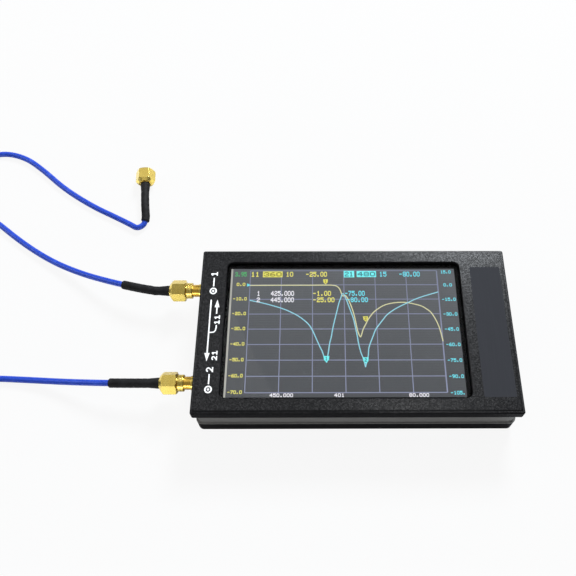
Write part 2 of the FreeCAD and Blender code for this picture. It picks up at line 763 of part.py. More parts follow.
def lcd_frame():
    """Display module's metal tray, which holds the backlight and the panel."""
    piece = Piece("lcd_frame")
    outline = piece.sketch(offset=MODULE_LOW)
    half_x, half_y = MODULE_WIDTH / 2, MODULE_DEPTH / 2
    draw_box(
        outline,
        MODULE_X - half_x,
        -half_y,
        MODULE_X + half_x,
        half_y,
    )
    piece.pad(outline, S.module_height)
    seat = piece.sketch(offset=MODULE_TOP)
    seat_x = MODULE_WIDTH / 2 - S.tray_rim_x + S.close_fit
    seat_y = MODULE_DEPTH / 2 - S.tray_rim_y + S.close_fit
    draw_box(
        seat, MODULE_X - seat_x, -seat_y, MODULE_X + seat_x, seat_y
    )
    piece.pocket(seat, S.panel_thickness)


def lcd_panel():
    """Liquid crystal panel in its tray."""
    half_x, half_y = MODULE_WIDTH / 2 - S.tray_rim_x, MODULE_DEPTH / 2 - S.tray_rim_y
    block(
        "lcd_panel",
        MODULE_X - half_x,
        -half_y,
        MODULE_TOP - S.panel_thickness,
        MODULE_X + half_x,
        half_y,
        MODULE_TOP,
    )


RIBBON_TOP = MODULE_LOW + 1.2
RIBBON_LOW = BOARD_TOP + 1.0


def lcd_ribbon():
    """Flat cable that leaves the display's edge, bends over and enters its socket below."""
    thickness = S.ribbon_thickness.number
    width = S.ribbon_width.number
    run = S.ribbon_run.number
    left = MODULE_RIGHT.number
    top, low = RIBBON_TOP.number, RIBBON_LOW.number
    bend = (top - low) / 2
    middle = Vector(left + run, -width / 2, (top + low) / 2)
    along = Vector(0, 1, 0)
    outer = Part.makeCylinder(bend + thickness / 2, width, middle, along)
    inner = Part.makeCylinder(bend - thickness / 2, width, middle, along)
    right_half = Part.makeBox(2 * bend, width, 3 * bend, middle - Vector(0, 0, 1.5 * bend))
    ribbon = outer.cut(inner).common(right_half)
    for level in (top, low):
        corner = Vector(left, -width / 2, level - thickness / 2)
        ribbon = ribbon.fuse(Part.makeBox(run, width, thickness, corner))
    item = keep(doc.addObject("Part::Feature", "lcd_ribbon"), "lcd_ribbon")
    item.Shape = ribbon.removeSplitter()


def ribbon_socket():
    """Socket on the board that the display's flat cable enters."""
    half = S.ribbon_width / 2 + 1.2
    block(
        "ribbon_socket", MODULE_RIGHT - 4.4, -half, BOARD_TOP, MODULE_RIGHT, half, BOARD_TOP + 1.9
    )


# ---------------------------------------------------------------- board and power


def main_board():
    """Main circuit board, notched round the corner posts."""
    piece = Piece("main_board")
    outline = piece.sketch(offset=BOARD_LOW)
    draw_box(outline, BOARD_LEFT, -BOARD_HALF_DEPTH, BOARD_RIGHT, BOARD_HALF_DEPTH)
    piece.pad(outline, S.board_thickness)
    notches = piece.sketch(offset=BOARD_TOP)
    notch_x = POST_X - S.post_diameter / 2 - S.board_gap
    notch_y = POST_Y - S.post_diameter / 2 - S.board_gap
    beyond_x, beyond_y = BOARD_RIGHT + 1, BOARD_HALF_DEPTH + 1
    for side_x in (-1, 1):
        for side_y in (-1, 1):
            across = sorted((side_x * notch_x, side_x * beyond_x), key=number_of)
            along = sorted((side_y * notch_y, side_y * beyond_y), key=number_of)
            draw_box(notches, across[0], along[0], across[1], along[1])
    piece.pocket(notches, S.board_thickness)
    holes = piece.sketch(offset=BOARD_TOP)
    draw_corners(
        holes, draw_circle, STANDOFF_X, STANDOFF_Y, S.board_screw + 2 * S.loose_fit
    )
    piece.pocket(holes, S.board_thickness)


def board_standoffs():
    """Four hexagonal brass standoffs between the rear cover's floor and the board."""
    standoffs = []
    for side_x in (-1, 1):
        for side_y in (-1, 1):
            x, y = STANDOFF_X * side_x, STANDOFF_Y * side_y
            pillar = prism(S.standoff_flats / math.sqrt(3), S.rear_floor, BOARD_LOW, x, y)
            depth = BOARD_LOW - S.board_screw_bite - 0.3
            bore = cylinder(S.board_screw + 2 * S.close_fit, depth, BOARD_LOW + 1, x, y)
            standoffs.append(cut(pillar, bore))
    grouped("board_standoffs", standoffs)


def board_screws():
    """Four pan-head screws that hold the board on its standoffs."""
    screws = []
    for side_x in (-1, 1):
        for side_y in (-1, 1):
            x, y = STANDOFF_X * side_x, STANDOFF_Y * side_y
            head_top = BOARD_TOP + S.board_screw_height
            head = cylinder(S.board_screw_head, BOARD_TOP, head_top, x, y)
            shank = cylinder(S.board_screw, BOARD_LOW - S.board_screw_bite, BOARD_TOP, x, y)
            drive = prism(S.drive_width / math.sqrt(3), head_top - 0.8, head_top + 0.1, x, y)
            screws.append(cut(fused(head, shank), drive))
    grouped("board_screws", screws)


def screening_can(label, left, front, right, back):
    """Folded metal lid over one receiver, open towards the board."""
    piece = Piece(label)
    outline = piece.sketch(offset=BOARD_TOP)
    draw_box(outline, left, front, right, back)
    piece.pad(outline, S.can_height)
    piece.fillet(lambda edge: upright(edge), 0.6)
    hollow = piece.sketch(offset=BOARD_TOP)
    wall = S.can_wall
    draw_box(hollow, left + wall, front + wall, right - wall, back - wall)
    piece.pocket(hollow, S.can_height - wall, reverse=True)


def board_parts():
    """Screening cans behind the ports, the processor and its memory."""
    can_left = BOARD_LEFT + S.leg_length + S.can_gap
    can_right = can_left + S.can_length
    can_edge = STANDOFF_Y - S.board_screw_head / 2 - 2 * S.loose_fit
    screening_can("port_1_shield", can_left, PORT_1_Y - S.can_side, can_right, can_edge)
    screening_can("port_2_shield", can_left, -can_edge, can_right, PORT_2_Y + S.can_side)
    chip("processor", S.processor_x, S.processor_side, S.processor_side)
    chip("memory_chip", S.memory_x, S.memory_width, S.memory_depth)


def chip(label, middle, width, depth):
    """A plain chip on the board, half way between its long edges."""
    left, right = middle - width / 2, middle + width / 2
    block(label, left, -depth / 2, BOARD_TOP, right, depth / 2, CHIP_TOP)


def battery():
    """Flat lithium cell on a strip of tape on the rear cover's floor."""
    half_x, half_y = S.battery_width / 2, S.battery_depth / 2
    tape_top = S.rear_floor + S.battery_tape
    tape_x, tape_y = half_x - S.tape_margin, half_y - S.tape_margin
    block("battery_tape", -tape_x, -tape_y, S.rear_floor, tape_x, tape_y, tape_top)
    piece = Piece("battery")
    outline = piece.sketch(offset=tape_top)
    draw_box(outline, -half_x, -half_y, half_x, half_y)
    piece.pad(outline, S.battery_height)
    piece.fillet(lambda edge: edge.BoundBox.YLength > S.battery_depth.number / 2, 1.2)


def battery_socket():
    """Two-pole power socket under the board, beside the battery."""
    left = S.battery_width / 2 + S.socket_gap
    right = left + S.socket_width
    front, back = S.socket_y - S.socket_depth / 2, S.socket_y + S.socket_depth / 2
    block("battery_socket", left, front, BOARD_LOW - S.socket_height, right, back, BOARD_LOW)


# ---------------------------------------------------------------- ports and plugs


def port(number, port_y):
    """One panel-edge jack: gilt body, white insulator and socket contact."""
    name = "port_%d" % number
    middle = (MATE_X, port_y, S.port_height)

    jack = Piece(name + "_jack")
    profile = jack.sketch()
    bore = S.insulator_diameter / 2
    thread = S.thread_diameter / 2
    mouth_face = -S.mouth_length
    draw_polygon(
        profile,
        (
            (mouth_face, S.mouth_diameter / 2),
            (mouth_face, thread - 0.35),
            (mouth_face + 0.35, thread),
            (THREAD_END, thread),
            (THREAD_END, S.neck_diameter / 2),
            (NECK_END, S.neck_diameter / 2),
            (NECK_END, S.shoulder_diameter / 2),
            (FLANGE_FRONT, S.shoulder_diameter / 2),
            (FLANGE_FRONT, bore),
            (as_size(0), bore),
            (as_size(0), S.mouth_diameter / 2),
        ),
    )
    jack.turn(profile)
    flange = jack.sketch("YZ_Plane", FLANGE_FRONT)
    side = S.flange_side / 2
    draw_box(flange, -side, -side, side, side)
    draw_circle(flange, 0, 0, S.insulator_diameter)
    jack.pad(flange, S.flange_thickness)
    legs = jack.sketch("YZ_Plane", FLANGE_BACK)
    board_face = -S.tail_diameter / 2
    back_face = board_face - S.board_thickness
    for edge in (-1, 1):
        across = sorted((side * edge, (side - S.leg_width) * edge), key=number_of)
        draw_box(legs, across[0], board_face, across[1], board_face + S.leg_width)
        draw_box(legs, across[0], -side, across[1], back_face)
    jack.pad(legs, S.leg_length)
    jack.place(*middle)

    insulator = Piece(name + "_insulator")
    ring = insulator.sketch("YZ_Plane")
    draw_circle(ring, 0, 0, S.insulator_diameter - 2 * S.close_fit)
    draw_circle(ring, 0, 0, S.contact_diameter + 2 * S.close_fit)
    insulator.pad(ring, FLANGE_BACK)
    insulator.place(*middle)

    contact = Piece(name + "_contact")
    section = contact.sketch()
    socket = S.pin_diameter / 2 + S.close_fit
    draw_polygon(
        section,
        (
            (as_size(0), socket),
            (as_size(0), S.contact_diameter / 2),
            (FLANGE_BACK, S.contact_diameter / 2),
            (FLANGE_BACK, S.tail_diameter / 2),
            (FLANGE_BACK + S.tail_length, S.tail_diameter / 2),
            (FLANGE_BACK + S.tail_length, as_size(0)),
            (S.contact_depth, as_size(0)),
            (S.contact_depth, socket),
        ),
    )
    contact.turn(section)
    contact.place(*middle)


def coupling_nut(label, place, corner_angle):
    """Hexagonal nut, turned down at its back, that spins round the plug's barrel."""
    nut = Piece(label)
    hexagonal = nut.sketch("YZ_Plane", NUT_BACK)
    draw_polygon(hexagonal, hexagon(S.nut_flats, corner_angle))
    nut.pad(hexagonal, S.nut_length)
    corner = S.nut_flats / math.sqrt(3)
    beyond = corner + 1
    waist = S.nut_flats / 2 - 0.1
    turned = nut.sketch()
    draw_polygon(
        turned,
        (
            (NUT_BACK, S.nut_back_diameter / 2),
            (NUT_BACK, beyond),
            (NUT_BACK + 1.6 * S.nut_shoulder, beyond),
            (NUT_BACK + 0.55 * S.nut_shoulder, waist),
        ),
    )
    nut.turn(turned, cut=True)
    chamfered = nut.sketch()
    draw_polygon(
        chamfered,
        ((S.nut_front, waist), (S.nut_front, beyond), (S.nut_front - 0.9, beyond)),
    )
    nut.turn(chamfered, cut=True)
    bore = nut.sketch()
    wide = S.thread_diameter / 2 + S.close_fit
    narrow = S.barrel_diameter / 2 + S.close_fit
    draw_polygon(
        bore,
        (
            (S.nut_front, as_size(0)),
            (S.nut_front, wide + 0.3),
            (S.nut_front - 0.3, wide),
            (NUT_BACK + S.nut_web, wide),
            (NUT_BACK + S.nut_web, narrow),
            (NUT_BACK, narrow),
            (NUT_BACK, as_size(0)),
        ),
    )
    nut.turn(bore, cut=True)
    nut.place(*place)


def plug(name, place, corner_angle):
    """Male coaxial plug: nut, body with ferrule, insulator and pin."""
    coupling_nut(name + "_nut", place, corner_angle)

    body = Piece(name + "_body")
    profile = body.sketch()
    ring = S.mouth_diameter / 2 - S.close_fit
    bore = S.insulator_diameter / 2
    pin_bore = S.pin_diameter / 2 + S.close_fit
    cable_bore = S.cable_diameter / 2 + S.close_fit
    ferrule = S.ferrule_diameter / 2
    barrel = S.barrel_diameter / 2
    collar = S.collar_diameter / 2
    draw_polygon(
        profile,
        (
            (as_size(0), bore),
            (as_size(0), ring),
            (COLLAR_FRONT, ring),
            (COLLAR_FRONT, collar),
            (COLLAR_BACK, collar),
            (COLLAR_BACK, barrel),
            (BARREL_BACK, barrel),
            (BARREL_BACK, ferrule),
            (FERRULE_BACK, ferrule),
            (FERRULE_BACK, cable_bore),
            (CABLE_END, cable_bore),
            (CABLE_END, pin_bore),
            (NUT_BACK, pin_bore),
            (NUT_BACK, bore),
        ),
    )
    body.turn(profile)
    body.place(*place)

    insulator = Piece(name + "_insulator")
    disc = insulator.sketch("YZ_Plane", NUT_BACK)
    draw_circle(disc, 0, 0, S.insulator_diameter - 2 * S.close_fit)
    draw_circle(disc, 0, 0, S.pin_diameter + 2 * S.close_fit)
    insulator.pad(disc, -NUT_BACK)
    insulator.place(*place)

    pin = Piece(name + "_pin")
    needle = pin.sketch()
    radius = S.pin_diameter / 2
    draw_polygon(
        needle,
        (
            (CABLE_END, as_size(0)),
            (CABLE_END, radius),
            (S.pin_reach - 0.5, radius),
            (S.pin_reach, radius / 2),
            (S.pin_reach, as_size(0)),
        ),
    )
    pin.turn(needle)
    pin.place(*place)


# ---------------------------------------------------------------- cables


def route_edges(name, points):
    """Straight runs joined by tangent arcs, as large as the runs beside each corner allow."""
    edges = []
    start = points[0]
    radii = []
    for before, corner, after in zip(points, points[1:], points[2:]):
        arriving, leaving = corner - before, after - corner
        room = 0.45 * min(arriving.Length, leaving.Length)
        arriving.normalize()
        leaving.normalize()
        half_turn = arriving.getAngle(leaving) / 2
        radius = room / math.tan(half_turn)
        inward = (leaving - arriving).normalize()
        centre = corner + inward * (radius / math.cos(half_turn))
        entry, leave = corner - arriving * room, corner + leaving * room
        edges.append(Part.LineSegment(start, entry).toShape())
        edges.append(Part.Arc(entry, centre - inward * radius, leave).toShape())
        start = leave
        radii.append(radius)
    edges.append(Part.LineSegment(start, points[-1]).toShape())
    print(name, "bend radii", " ".join("%.1f" % radius for radius in radii))
    return edges


def first_part(edges, length):
    """The edges that make up the first stretch of that length."""
    kept = []
    for edge in edges:
        if edge.Length >= length:
            last = edge.getParameterByLength(length)
            kept.append(edge.Curve.toShape(edge.FirstParameter, last))
            return kept
        kept.append(edge)
        length -= edge.Length
    return kept


def tube(edges, diameter):
    """A round solid along the edges."""
    path = Part.Wire(edges)
    start = path.OrderedVertexes[0].Point
    heading = edges[0].tangentAt(edges[0].FirstParameter)
    ring = Part.Wire(Part.makeCircle(diameter / 2, start, heading))
    return path.makePipeShell([ring], True, True)


def cable(label, points):
    """The cable's round jacket along its route, checked against section times length."""
    edges = route_edges(label, points)
    item = keep(doc.addObject("Part::Feature", label), label)
    item.Shape = tube(edges, S.cable_diameter.number)
    length = sum(edge.Length for edge in edges)
    expected = math.pi * S.cable_diameter.number**2 / 4 * length
    print(label, "length %.1f" % length, "volume ratio %.5f" % (item.Shape.Volume / expected))
    return edges


def sleeve(label, edges):
    """Black shrink sleeve: flared over the ferrule, then tight along the cable."""
    fit = S.close_fit.number
    behind_barrel = S.ferrule_web.number - 0.05
    ferrule_reach = S.ferrule_length.number - S.ferrule_web.number
    start = edges[0].valueAt(edges[0].FirstParameter)
    heading = edges[0].tangentAt(edges[0].FirstParameter)
    flare_start = start - heading * behind_barrel
    flare_reach = behind_barrel + ferrule_reach + 0.6
    wide, tight = S.sleeve_flare.number / 2, S.sleeve_diameter.number / 2
    flare = Part.makeCylinder(wide, flare_reach, flare_start, heading)
    # The taper ends a little inside the tight stretch, so that the two cross cleanly.
    taper_start = flare_start + heading * flare_reach
    taper = Part.makeCone(wide, tight - 0.15, 1.8, taper_start, heading)
    covered = first_part(edges, S.sleeve_length.number - behind_barrel)
    skin = tube(covered, S.sleeve_diameter.number).fuse([flare, taper])
    room = Part.makeCylinder(
        S.ferrule_diameter.number / 2 + fit, behind_barrel + ferrule_reach + fit, flare_start, heading
    )
    bore = tube(covered, S.cable_diameter.number + 2 * fit).fuse(room)
    shape = skin.cut(bore)
    item = keep(doc.addObject("Part::Feature", label), label)
    item.Shape = shape


def plug_place(cable_start, heading):
    """Where a plug sits whose cable starts at that point, mouth towards heading degrees."""
    return (*(cable_start - toward(heading) * CABLE_END.number), heading)


def near_end(port_y):
    """Start of a lead's cable, in the plug that is screwed on a port."""
    return Vector((MATE_X + CABLE_END).number, port_y.number, S.port_height.number)


# Corner angles of the nuts, in degrees from +Y towards +Z about their own axis.
PORT_1_NUT_TURN = 76.0
PORT_2_NUT_TURN = 65.0
LOOSE_NUT_TURN = 0.0
# The loose plugs lie on one flat of their nuts.
LOOSE_PLUG_LEVEL = S.nut_flats.number / 2 + 0.02
# Height of a cable's middle where it lies on the table.
LYING = S.cable_diameter.number / 2 + 0.02

# Straight stretches in line with a plug, out of it and into the far one.
STRAIGHT_OUT = 11.5
STRAIGHT_IN = 9.0

LEAD_1_HEADING = 94.9
LEAD_1_END = Vector(-97.2, 80.8, LOOSE_PLUG_LEVEL)
LEAD_1_ROUTE = (
    (-104.4, 28.4, 8.6),
    (-119.7, 36.8, 4.4),
    (-135.5, 43.0, 1.9),
    (-151.5, 52.6, LYING),
    (-167.5, 64.4, LYING),
    (-183.8, 74.2, LYING),
    (-187.6, 86.1, LYING),
    (-182.8, 97.7, LYING),
    (-171.7, 103.4, LYING),
    (-159.3, 100.6, LYING),
    (-148.5, 92.5, LYING),
    (-137.0, 81.9, LYING),
    (-122.0, 71.2, LYING),
    (-109.3, 64.0, 1.4),
    (-102.3, 60.6, 1.6),
    (-98.6, 58.9, 1.75),
    (-94.9, 62.0, 2.1),
)

LEAD_2_HEADING = -12.0
LEAD_2_END = Vector(-152.5, -56.5, LOOSE_PLUG_LEVEL)
LEAD_2_ROUTE = (
    (-105.5, -18.2, 8.4),
    (-120.5, -16.2, 4.2),
    (-136.0, -14.5, 1.8),
    (-151.0, -13.6, LYING),
    (-167.0, -14.2, LYING),
)
LEAD_2_TAIL = (
    (-179.9, -44.4, LYING),
    (-175.2, -48.2, 1.6),
    (-169.9, -51.6, 2.7),
)
COIL_CENTRE = Vector(-173.5, -29.4, 0)
# The coil's solid is this much thicker than the cable, above and below.
COIL_SLACK = 0.06


def toward(heading):
    """Unit vector along a heading, in degrees from +X."""
    angle = math.radians(heading)
    return Vector(math.cos(angle), math.sin(angle), 0)


def leads():
    """Both test leads, each from its port to its loose far plug."""
    for number, port_y, turn in (
        (1, PORT_1_Y, PORT_1_NUT_TURN),
        (2, PORT_2_Y, PORT_2_NUT_TURN),
    ):
        plug("lead_%d_near" % number, (MATE_X, port_y, S.port_height), turn)

    start = near_end(PORT_1_Y)
    last = LEAD_1_END - toward(LEAD_1_HEADING) * STRAIGHT_IN
    route = [Vector(*point) for point in LEAD_1_ROUTE]
    edges = cable(
        "lead_1_cable", [start, start - Vector(STRAIGHT_OUT, 0, 0), *route, last, LEAD_1_END]
    )
    sleeve("lead_1_near_sleeve", edges)
    sleeve("lead_1_far_sleeve", turned_round(edges))
    plug("lead_1_far", plug_place(LEAD_1_END, LEAD_1_HEADING), LOOSE_NUT_TURN)

    start = near_end(PORT_2_Y)
    route = [Vector(*point) for point in LEAD_2_ROUTE]
    edges = cable("lead_2_cable", [start, start - Vector(STRAIGHT_OUT, 0, 0), *route])
    sleeve("lead_2_near_sleeve", edges)
    coil = keep(doc.addObject("Part::Feature", "lead_2_coil"), "lead_2_coil")
    coil.Shape = coil_ring()
    last = LEAD_2_END - toward(LEAD_2_HEADING) * STRAIGHT_IN
    edges = cable("lead_2_tail", [*(Vector(*point) for point in LEAD_2_TAIL), last, LEAD_2_END])
    sleeve("lead_2_far_sleeve", turned_round(edges))
    plug("lead_2_far", plug_place(LEAD_2_END, LEAD_2_HEADING), LOOSE_NUT_TURN)


def coil_ring():
    """Closed outer shape of the turns that lie side by side: a flat ring with round edges."""
    half_height = S.cable_diameter.number / 2 + COIL_SLACK
    reach = S.coil_band.number / 2 - half_height
    radius = S.coil_radius.number
    inner, outer = radius - reach, radius + reach
    low = COIL_SLACK / 4
    middle, high = low + half_height, low + 2 * half_height
    edges = [
        Part.LineSegment(Vector(inner, 0, low), Vector(outer, 0, low)),
        Part.Arc(
            Vector(outer, 0, low), Vector(outer + half_height, 0, middle), Vector(outer, 0, high)
        ),
        Part.LineSegment(Vector(outer, 0, high), Vector(inner, 0, high)),
        Part.Arc(
            Vector(inner, 0, high), Vector(inner - half_height, 0, middle), Vector(inner, 0, low)
        ),
    ]
    face = Part.Face(Part.Wire([edge.toShape() for edge in edges]))
    ring = face.revolve(Vector(0, 0, 0), UP, 360)
    ring.translate(COIL_CENTRE)
    return ring


def turned_round(edges):
    """The same route, walked from its other end."""
    points = []
    for edge in reversed(edges):
        ends = (edge.FirstParameter, edge.LastParameter)
        middle = edge.valueAt((ends[0] + ends[1]) / 2)
        first, last = edge.valueAt(ends[1]), edge.valueAt(ends[0])
        straight = near((last - first).Length, edge.Length, 1e-6)
        curve = Part.LineSegment(first, last) if straight else Part.Arc(first, middle, last)
        points.append(curve.toShape())
    return points


# ---------------------------------------------------------------- controls


SWITCH_HEIGHT = BOARD_TOP + S.switch_height / 2
JOG_HEIGHT = BOARD_TOP + S.jog_height / 2
CHIP_TOP = BOARD_TOP + S.chip_height
LIGHT_HEIGHT = BOARD_TOP + 1.6
JOG_PIVOT_Y = BOARD_HALF_DEPTH - 3.2
JOG_ANGLE = 10.0
JOG_SWING = (FRAME_FACE_Y + S.jog_reach - JOG_PIVOT_Y) * math.sin(math.radians(JOG_ANGLE))


def usb_socket():
    """Charging socket: a rounded steel shell round a plastic tongue."""
    shell = Piece("usb_socket")
    back = FRAME_FACE_X - S.usb_setback - S.usb_depth
    mouth = shell.sketch("YZ_Plane", back)
    half, high = S.usb_width / 2, BOARD_TOP + S.usb_height
    draw_box(mouth, S.usb_y - half, BOARD_TOP, S.usb_y + half, high)
    shell.pad(mouth, S.usb_depth)

    inside = shell.sketch("YZ_Plane", FRAME_FACE_X - S.usb_setback)
    wall = S.usb_wall
    draw_box(inside, S.usb_y - half + wall, BOARD_TOP + wall, S.usb_y + half - wall, high - wall)
    shell.pocket(inside, S.usb_depth - S.usb_back)

    def corner_at(levels):
        def chosen(edge):
            box = edge.BoundBox
            along = box.YLength < 1e-4 and box.ZLength < 1e-4
            return along and any(near(box.Center.z, level.number) for level in levels)

        return chosen

    shell.fillet(corner_at((BOARD_TOP + wall, high - wall)), S.usb_height / 2 - wall - 0.05)
    shell.fillet(corner_at((BOARD_TOP, high)), S.usb_height / 2 - 0.05)
    middle = BOARD_TOP + S.usb_height / 2
    block(
        "usb_tongue",
        back + S.usb_back,
        S.usb_y - S.tongue_width / 2,
        middle - S.tongue_thickness / 2,
        FRAME_FACE_X - S.usb_setback - S.tongue_setback,
        S.usb_y + S.tongue_width / 2,
        middle + S.tongue_thickness / 2,
    )


def status_light():
    """Light pipe from a lamp on the board to the side frame's face."""
    piece = Piece("status_light")
    pipe = piece.sketch("YZ_Plane", BOARD_RIGHT - 3)
    draw_circle(pipe, S.light_y, LIGHT_HEIGHT, S.light_diameter)
    piece.pad(pipe, FRAME_FACE_X - BOARD_RIGHT + 3)
    foot = piece.sketch(offset=BOARD_TOP)
    draw_box(foot, BOARD_RIGHT - 5, S.light_y - 1.2, BOARD_RIGHT - 2, S.light_y + 1.2)
    piece.pad(foot, 2.8)


def power_switch():
    """Slide switch at the board's far edge, with its knob in a slot of the side frame."""
    low, high = BOARD_TOP, BOARD_TOP + S.switch_height
    back, front = BOARD_HALF_DEPTH - S.switch_depth, BOARD_HALF_DEPTH
    half = S.switch_width / 2
    wall = S.switch_wall
    body = Piece("power_switch_body")
    outline = body.sketch(offset=low)
    draw_box(outline, S.switch_x - half, back, S.switch_x + half, front)
    body.pad(outline, S.switch_height)
    cavity = body.sketch("XZ_Plane", -(front - wall))
    inner = half - wall
    draw_box(cavity, S.switch_x - inner, low + wall, S.switch_x + inner, high - wall)
    body.pocket(cavity, S.switch_depth - 2 * wall, reverse=True)
    slot = body.sketch("XZ_Plane", -front)
    slot_half = S.slider_width / 2 + S.slider_travel / 2 + S.loose_fit
    rise = S.slider_height / 2 + S.loose_fit
    draw_box(
        slot,
        S.switch_x - slot_half,
        SWITCH_HEIGHT - rise,
        S.switch_x + slot_half,
        SWITCH_HEIGHT + rise,
    )
    body.pocket(slot, wall, reverse=True)

    slider = Piece("power_slider")
    rest_x = S.switch_x - S.slider_travel / 2
    plate = slider.sketch("XZ_Plane", -(front - wall - S.loose_fit))
    plate_half = inner - S.slider_travel / 2 - S.loose_fit
    plate_rise = S.switch_height / 2 - wall - S.loose_fit
    draw_box(
        plate,
        rest_x - plate_half,
        SWITCH_HEIGHT - plate_rise,
        rest_x + plate_half,
        SWITCH_HEIGHT + plate_rise,
    )
    slider.pad(plate, S.switch_depth - 2 * wall - 2 * S.loose_fit)
    knob = slider.sketch("XZ_Plane", -(front - wall - S.loose_fit))
    knob_half, knob_rise = S.slider_width / 2, S.slider_height / 2
    draw_box(
        knob,
        rest_x - knob_half,
        SWITCH_HEIGHT - knob_rise,
        rest_x + knob_half,
        SWITCH_HEIGHT + knob_rise,
    )
    reach = FRAME_FACE_Y + S.slider_reach - (front - wall - S.loose_fit)
    slider.pad(knob, reach, reverse=True)


def jog_switch():
    """Three-way lever switch: the lever tilts about its pin and presses in with its carrier."""
    low, high = BOARD_TOP, BOARD_TOP + S.jog_height
    back, front = BOARD_HALF_DEPTH - S.jog_depth, BOARD_HALF_DEPTH
    wall = S.jog_wall
    half = S.jog_width / 2
    fit = S.loose_fit
    body = Piece("jog_switch_body")
    outline = body.sketch(offset=low)
    draw_box(outline, S.jog_x - half, back, S.jog_x + half, front)
    body.pad(outline, S.jog_height)
    cavity = body.sketch("XZ_Plane", -front)
    inner = half - wall
    draw_box(cavity, S.jog_x - inner, low + wall, S.jog_x + inner, high - wall)
    body.pocket(cavity, S.jog_depth - wall, reverse=True)

    lever_low = JOG_HEIGHT - S.jog_knob_height / 2
    floor, ceiling = low + wall + fit, high - wall - fit
    carrier = Piece("jog_carrier")
    block_half = inner - fit
    carrier_back = back + wall + S.jog_press + fit
    carrier_front = JOG_PIVOT_Y + 1.6
    base = carrier.sketch(offset=floor)
    draw_box(base, S.jog_x - block_half, carrier_back, S.jog_x + block_half, carrier_front)
    carrier.pad(base, ceiling - floor)
    gap = carrier.sketch("XZ_Plane", -carrier_front)
    hub_room = S.jog_knob_width / 2 + 1.2
    draw_box(gap, S.jog_x - hub_room, lever_low - fit, S.jog_x + hub_room, ceiling + 0.1)
    carrier.pocket(gap, carrier_front - carrier_back - 0.6, reverse=True)
    pin = carrier.sketch(offset=floor)
    draw_circle(pin, S.jog_x, JOG_PIVOT_Y, S.jog_pin)
    carrier.pad(pin, ceiling - floor)

    lever = Piece("jog_lever")
    hub_half = S.jog_knob_width / 2 - 0.5
    tip = FRAME_FACE_Y + S.jog_reach
    arm = lever.sketch(offset=lever_low)
    draw_polygon(
        arm,
        (
            (S.jog_x - hub_half, JOG_PIVOT_Y - 1.0),
            (S.jog_x + hub_half, JOG_PIVOT_Y - 1.0),
            (S.jog_x + hub_half, FRAME_FACE_Y - 0.6),
            (S.jog_x + S.jog_knob_width / 2, FRAME_FACE_Y + 0.6),
            (S.jog_x + S.jog_knob_width / 2, tip - 0.7),
            (S.jog_x + S.jog_knob_width / 2 - 0.7, tip),
            (S.jog_x - S.jog_knob_width / 2 + 0.7, tip),
            (S.jog_x - S.jog_knob_width / 2, tip - 0.7),
            (S.jog_x - S.jog_knob_width / 2, FRAME_FACE_Y + 0.6),
            (S.jog_x - hub_half, FRAME_FACE_Y - 0.6),
        ),
    )
    lever.pad(arm, S.jog_knob_height)
    eye = lever.sketch(offset=lever_low + S.jog_knob_height)
    draw_circle(eye, S.jog_x, JOG_PIVOT_Y, S.jog_pin + 2 * S.close_fit)
    lever.pocket(eye, S.jog_knob_height)


# ---------------------------------------------------------------- assembly


def build():
    front_cover()
    side_frame()
    rear_cover()
    case_screws()
    window_gasket()
    touch_glass()
    lcd_panel()
    lcd_frame()
    lcd_ribbon()
    ribbon_socket()
    main_board()
    board_standoffs()
    board_screws()
    board_parts()
    battery()
    battery_socket()
    usb_socket()
    status_light()
    power_switch()
    jog_switch()
    port(1, PORT_1_Y)
    port(2, PORT_2_Y)
    leads()


def check():
    """Stops before anything is written if an object failed or a shape isn't sound."""
    doc.recompute()
    for item in doc.Objects:
        if "Invalid" in item.State or "Error" in item.State:
            raise RuntimeError("%s didn't compute: %s" % (item.Label, item.State))
    for item in NODES:
        if item.Shape.isNull() or not item.Shape.isValid() or not item.Shape.Solids:
            raise RuntimeError("%s has no sound shape" % item.Label)


def write():
    os.makedirs("parts", exist_ok=True)
    for item in NODES:
        item.Shape.exportStep("parts/%s.step" % item.Label)
    print(len(NODES), "pieces written")


build()
check()
write()
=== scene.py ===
import math

import bmesh
import bpy
from bpy.props import FloatProperty, FloatVectorProperty, PointerProperty
from mathutils import Matrix, Vector


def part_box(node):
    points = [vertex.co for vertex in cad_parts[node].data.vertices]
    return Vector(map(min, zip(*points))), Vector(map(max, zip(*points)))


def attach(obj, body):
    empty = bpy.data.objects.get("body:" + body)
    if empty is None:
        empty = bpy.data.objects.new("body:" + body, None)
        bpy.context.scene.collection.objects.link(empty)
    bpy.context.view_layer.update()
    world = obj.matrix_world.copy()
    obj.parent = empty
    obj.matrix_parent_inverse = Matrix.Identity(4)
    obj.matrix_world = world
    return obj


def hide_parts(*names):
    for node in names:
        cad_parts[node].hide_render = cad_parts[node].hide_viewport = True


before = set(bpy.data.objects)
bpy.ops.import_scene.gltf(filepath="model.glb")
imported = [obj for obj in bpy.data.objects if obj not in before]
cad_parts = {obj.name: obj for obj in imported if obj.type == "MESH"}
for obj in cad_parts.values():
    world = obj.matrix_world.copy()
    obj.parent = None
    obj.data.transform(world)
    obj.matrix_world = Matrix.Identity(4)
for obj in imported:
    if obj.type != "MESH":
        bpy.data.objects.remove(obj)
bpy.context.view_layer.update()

bl_info = {
    "name": "Antenna analyzer",
    "version": (1, 0, 0),
    "blender": (4, 5, 0),
    "location": "View3D > Sidebar > Analyzer",
    "description": "Finishes a pocket antenna analyzer with its two test leads",
    "category": "Object",
}

MM = 0.001

# Tops of the pieces that carry others, in millimetres above the table.
LCD_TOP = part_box("lcd_panel")[1].z / MM
GLASS_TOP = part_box("touch_glass")[1].z / MM
COVER_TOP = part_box("front_cover")[1].z / MM

# The lit part of the display: left, right, near and far edge, in millimetres.
LIT = (-51.4, 42.4, -28.2, 27.85)

BLACK = (0.0, 0.0, 0.0)


# ---------------------------------------------------------------- properties


